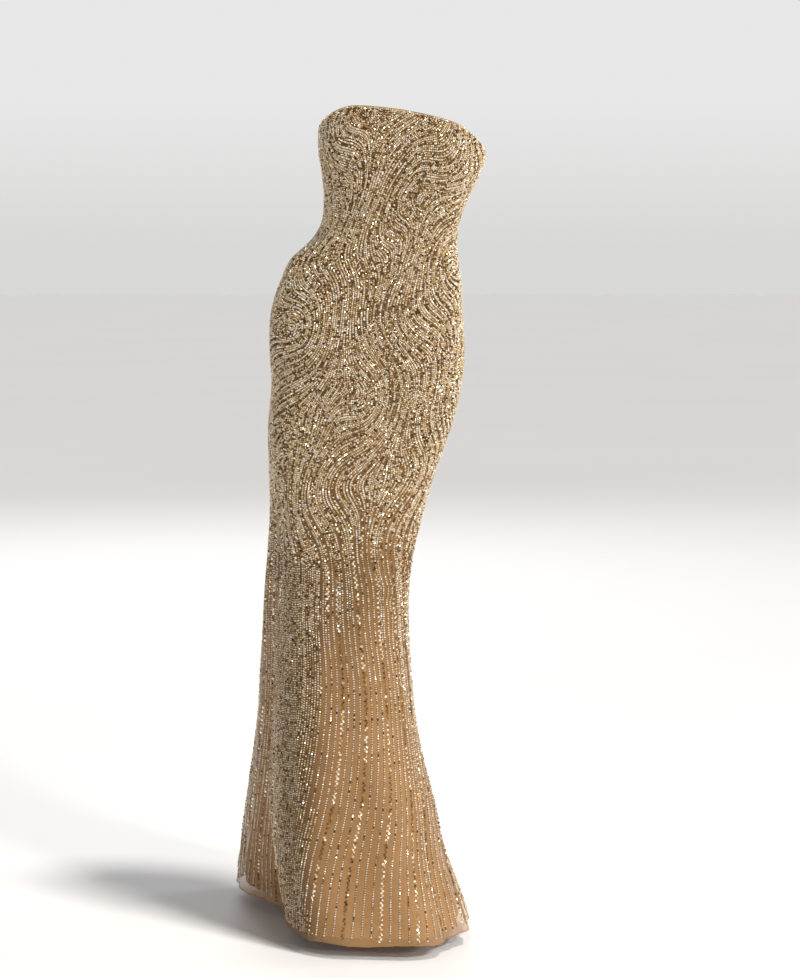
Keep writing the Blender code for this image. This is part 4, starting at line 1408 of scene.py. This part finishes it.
rolled_hem()
top_turning("top_turning_front", -SIDE_SEAM, SIDE_SEAM)
top_turning("top_turning_right", SIDE_SEAM, CENTRE_BACK - 0.0045)
top_turning("top_turning_left", CENTRE_BACK + 0.0045, OTHER_SIDE)
seam_rolls()
sewing()
zip_coil()

for name, finish in (("zip_tape", TAPE), ("zip_slider", METAL), ("zip_pull", METAL)):
    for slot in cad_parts[name].material_slots:
        slot.material = finish

declare_cloth(-SIDE_SEAM, SIDE_SEAM, hem_height, top_edge)
declare_cloth(SIDE_SEAM, CENTRE_BACK, hem_height, top_edge)
declare_cloth(CENTRE_BACK, OTHER_SIDE, hem_height, top_edge)
declare_cloth(-SIDE_SEAM, SIDE_SEAM, lining_low, lining_high)
declare_cloth(SIDE_SEAM, OTHER_SIDE, lining_low, lining_high)

# ---------------------------------------------------------------- floor, light and camera

FLOOR_DROP = 24.0  # below the hem
CAMERA_DISTANCE = 4.6
CAMERA_HEIGHT = 1132.4  # above the hem
CAMERA_PITCH = 0.0881766  # downwards, in radians
CAMERA_LENS = 101.595


def floor_finish():
    n = Nodes("studio_floor")
    pale = n.ramp(n.noise(0.6, 2.0), ((0.3, (0.885, 0.885, 0.88)), (0.7, (0.90, 0.90, 0.895))))
    n.surface(pale, n.math("MULTIPLY_ADD", n.noise(3.0), 0.1, 0.6))
    return n.material


def floor():
    """A wide pale floor."""
    base = (-HOLD_HEIGHT - FLOOR_DROP) * MM
    points = np.array([[(x, y, base) for x in (-60.0, 0.0, 60.0)] for y in (-60.0, 0.0, 60.0)])
    mesh = mesh_of("floor", points.reshape(-1, 3), grid_faces(3, 3), True)
    mesh.materials.append(floor_finish())
    add_object("floor", mesh)


def area_light(name, place, size, power, tint=(1.0, 1.0, 1.0)):
    """A soft light that looks at the gown's middle."""
    lamp = bpy.data.lights.new(name, "AREA")
    lamp.shape = "RECTANGLE"
    lamp.size, lamp.size_y = size
    lamp.energy = power
    lamp.color = tint
    made = add_object(name, lamp)
    made.location = place
    made.rotation_euler = (Vector((0, 0, -0.5)) - Vector(place)).to_track_quat("-Z", "Y").to_euler()


def studio():
    """Soft light from the right and the front, in a pale room that is dimmer overhead."""
    world = bpy.data.worlds.new("studio")
    world.use_nodes = True
    tree = world.node_tree
    direction = tree.nodes.new("ShaderNodeTexCoord").outputs["Generated"]
    split = tree.nodes.new("ShaderNodeSeparateXYZ")
    band = tree.nodes.new("ShaderNodeValToRGB")
    tree.links.new(direction, split.inputs[0])
    tree.links.new(split.outputs["Z"], band.inputs["Fac"])
    tree.links.new(band.outputs["Color"], tree.nodes["Background"].inputs["Color"])
    elements = band.color_ramp.elements
    elements[0].position, elements[0].color = 0.0, (0.69, 0.69, 0.68, 1.0)
    elements[1].position, elements[1].color = 0.40, (0.13, 0.13, 0.14, 1.0)
    for place, grey in ((0.05, 0.80), (0.15, 0.80)):
        elements.new(place).color = (grey, grey, grey, 1.0)
    tree.nodes["Background"].inputs["Strength"].default_value = 1.0
    bpy.context.scene.world = world
    sun = bpy.data.lights.new("soft_key", "SUN")
    sun.energy = 2.2
    sun.angle = np.radians(8)
    sun.color = (1.0, 0.97, 0.93)
    made = add_object("soft_key", sun)
    made.rotation_euler = Vector((-0.50, 0.40, -1.30)).to_track_quat("-Z", "Y").to_euler()
    area_light("front_key", (2.3, -3.4, 1.4), (0.45, 0.45), 100, tint=(1.0, 0.95, 0.88))
    area_light("fill", (-1.4, -4.0, 0.5), (0.9, 1.4), 5)
    area_light("back_fill", (-1.0, 6.0, 3.0), (3.0, 2.0), 120)
    area_light("side_right", (3.4, 0.8, 0.9), (0.6, 1.6), 26)
    bpy.context.scene.view_settings.view_transform = "Standard"


def camera():
    lens = bpy.data.cameras.new("camera")
    lens.lens = CAMERA_LENS
    lens.sensor_width = 36.0
    lens.clip_end = 150.0
    made = add_object("camera", lens)
    made.location = (0.0, -CAMERA_DISTANCE, (CAMERA_HEIGHT - HOLD_HEIGHT) * MM)
    made.rotation_euler = Euler((np.pi / 2 - CAMERA_PITCH, 0, 0))
    bpy.context.scene.camera = made


floor()
studio()
camera()
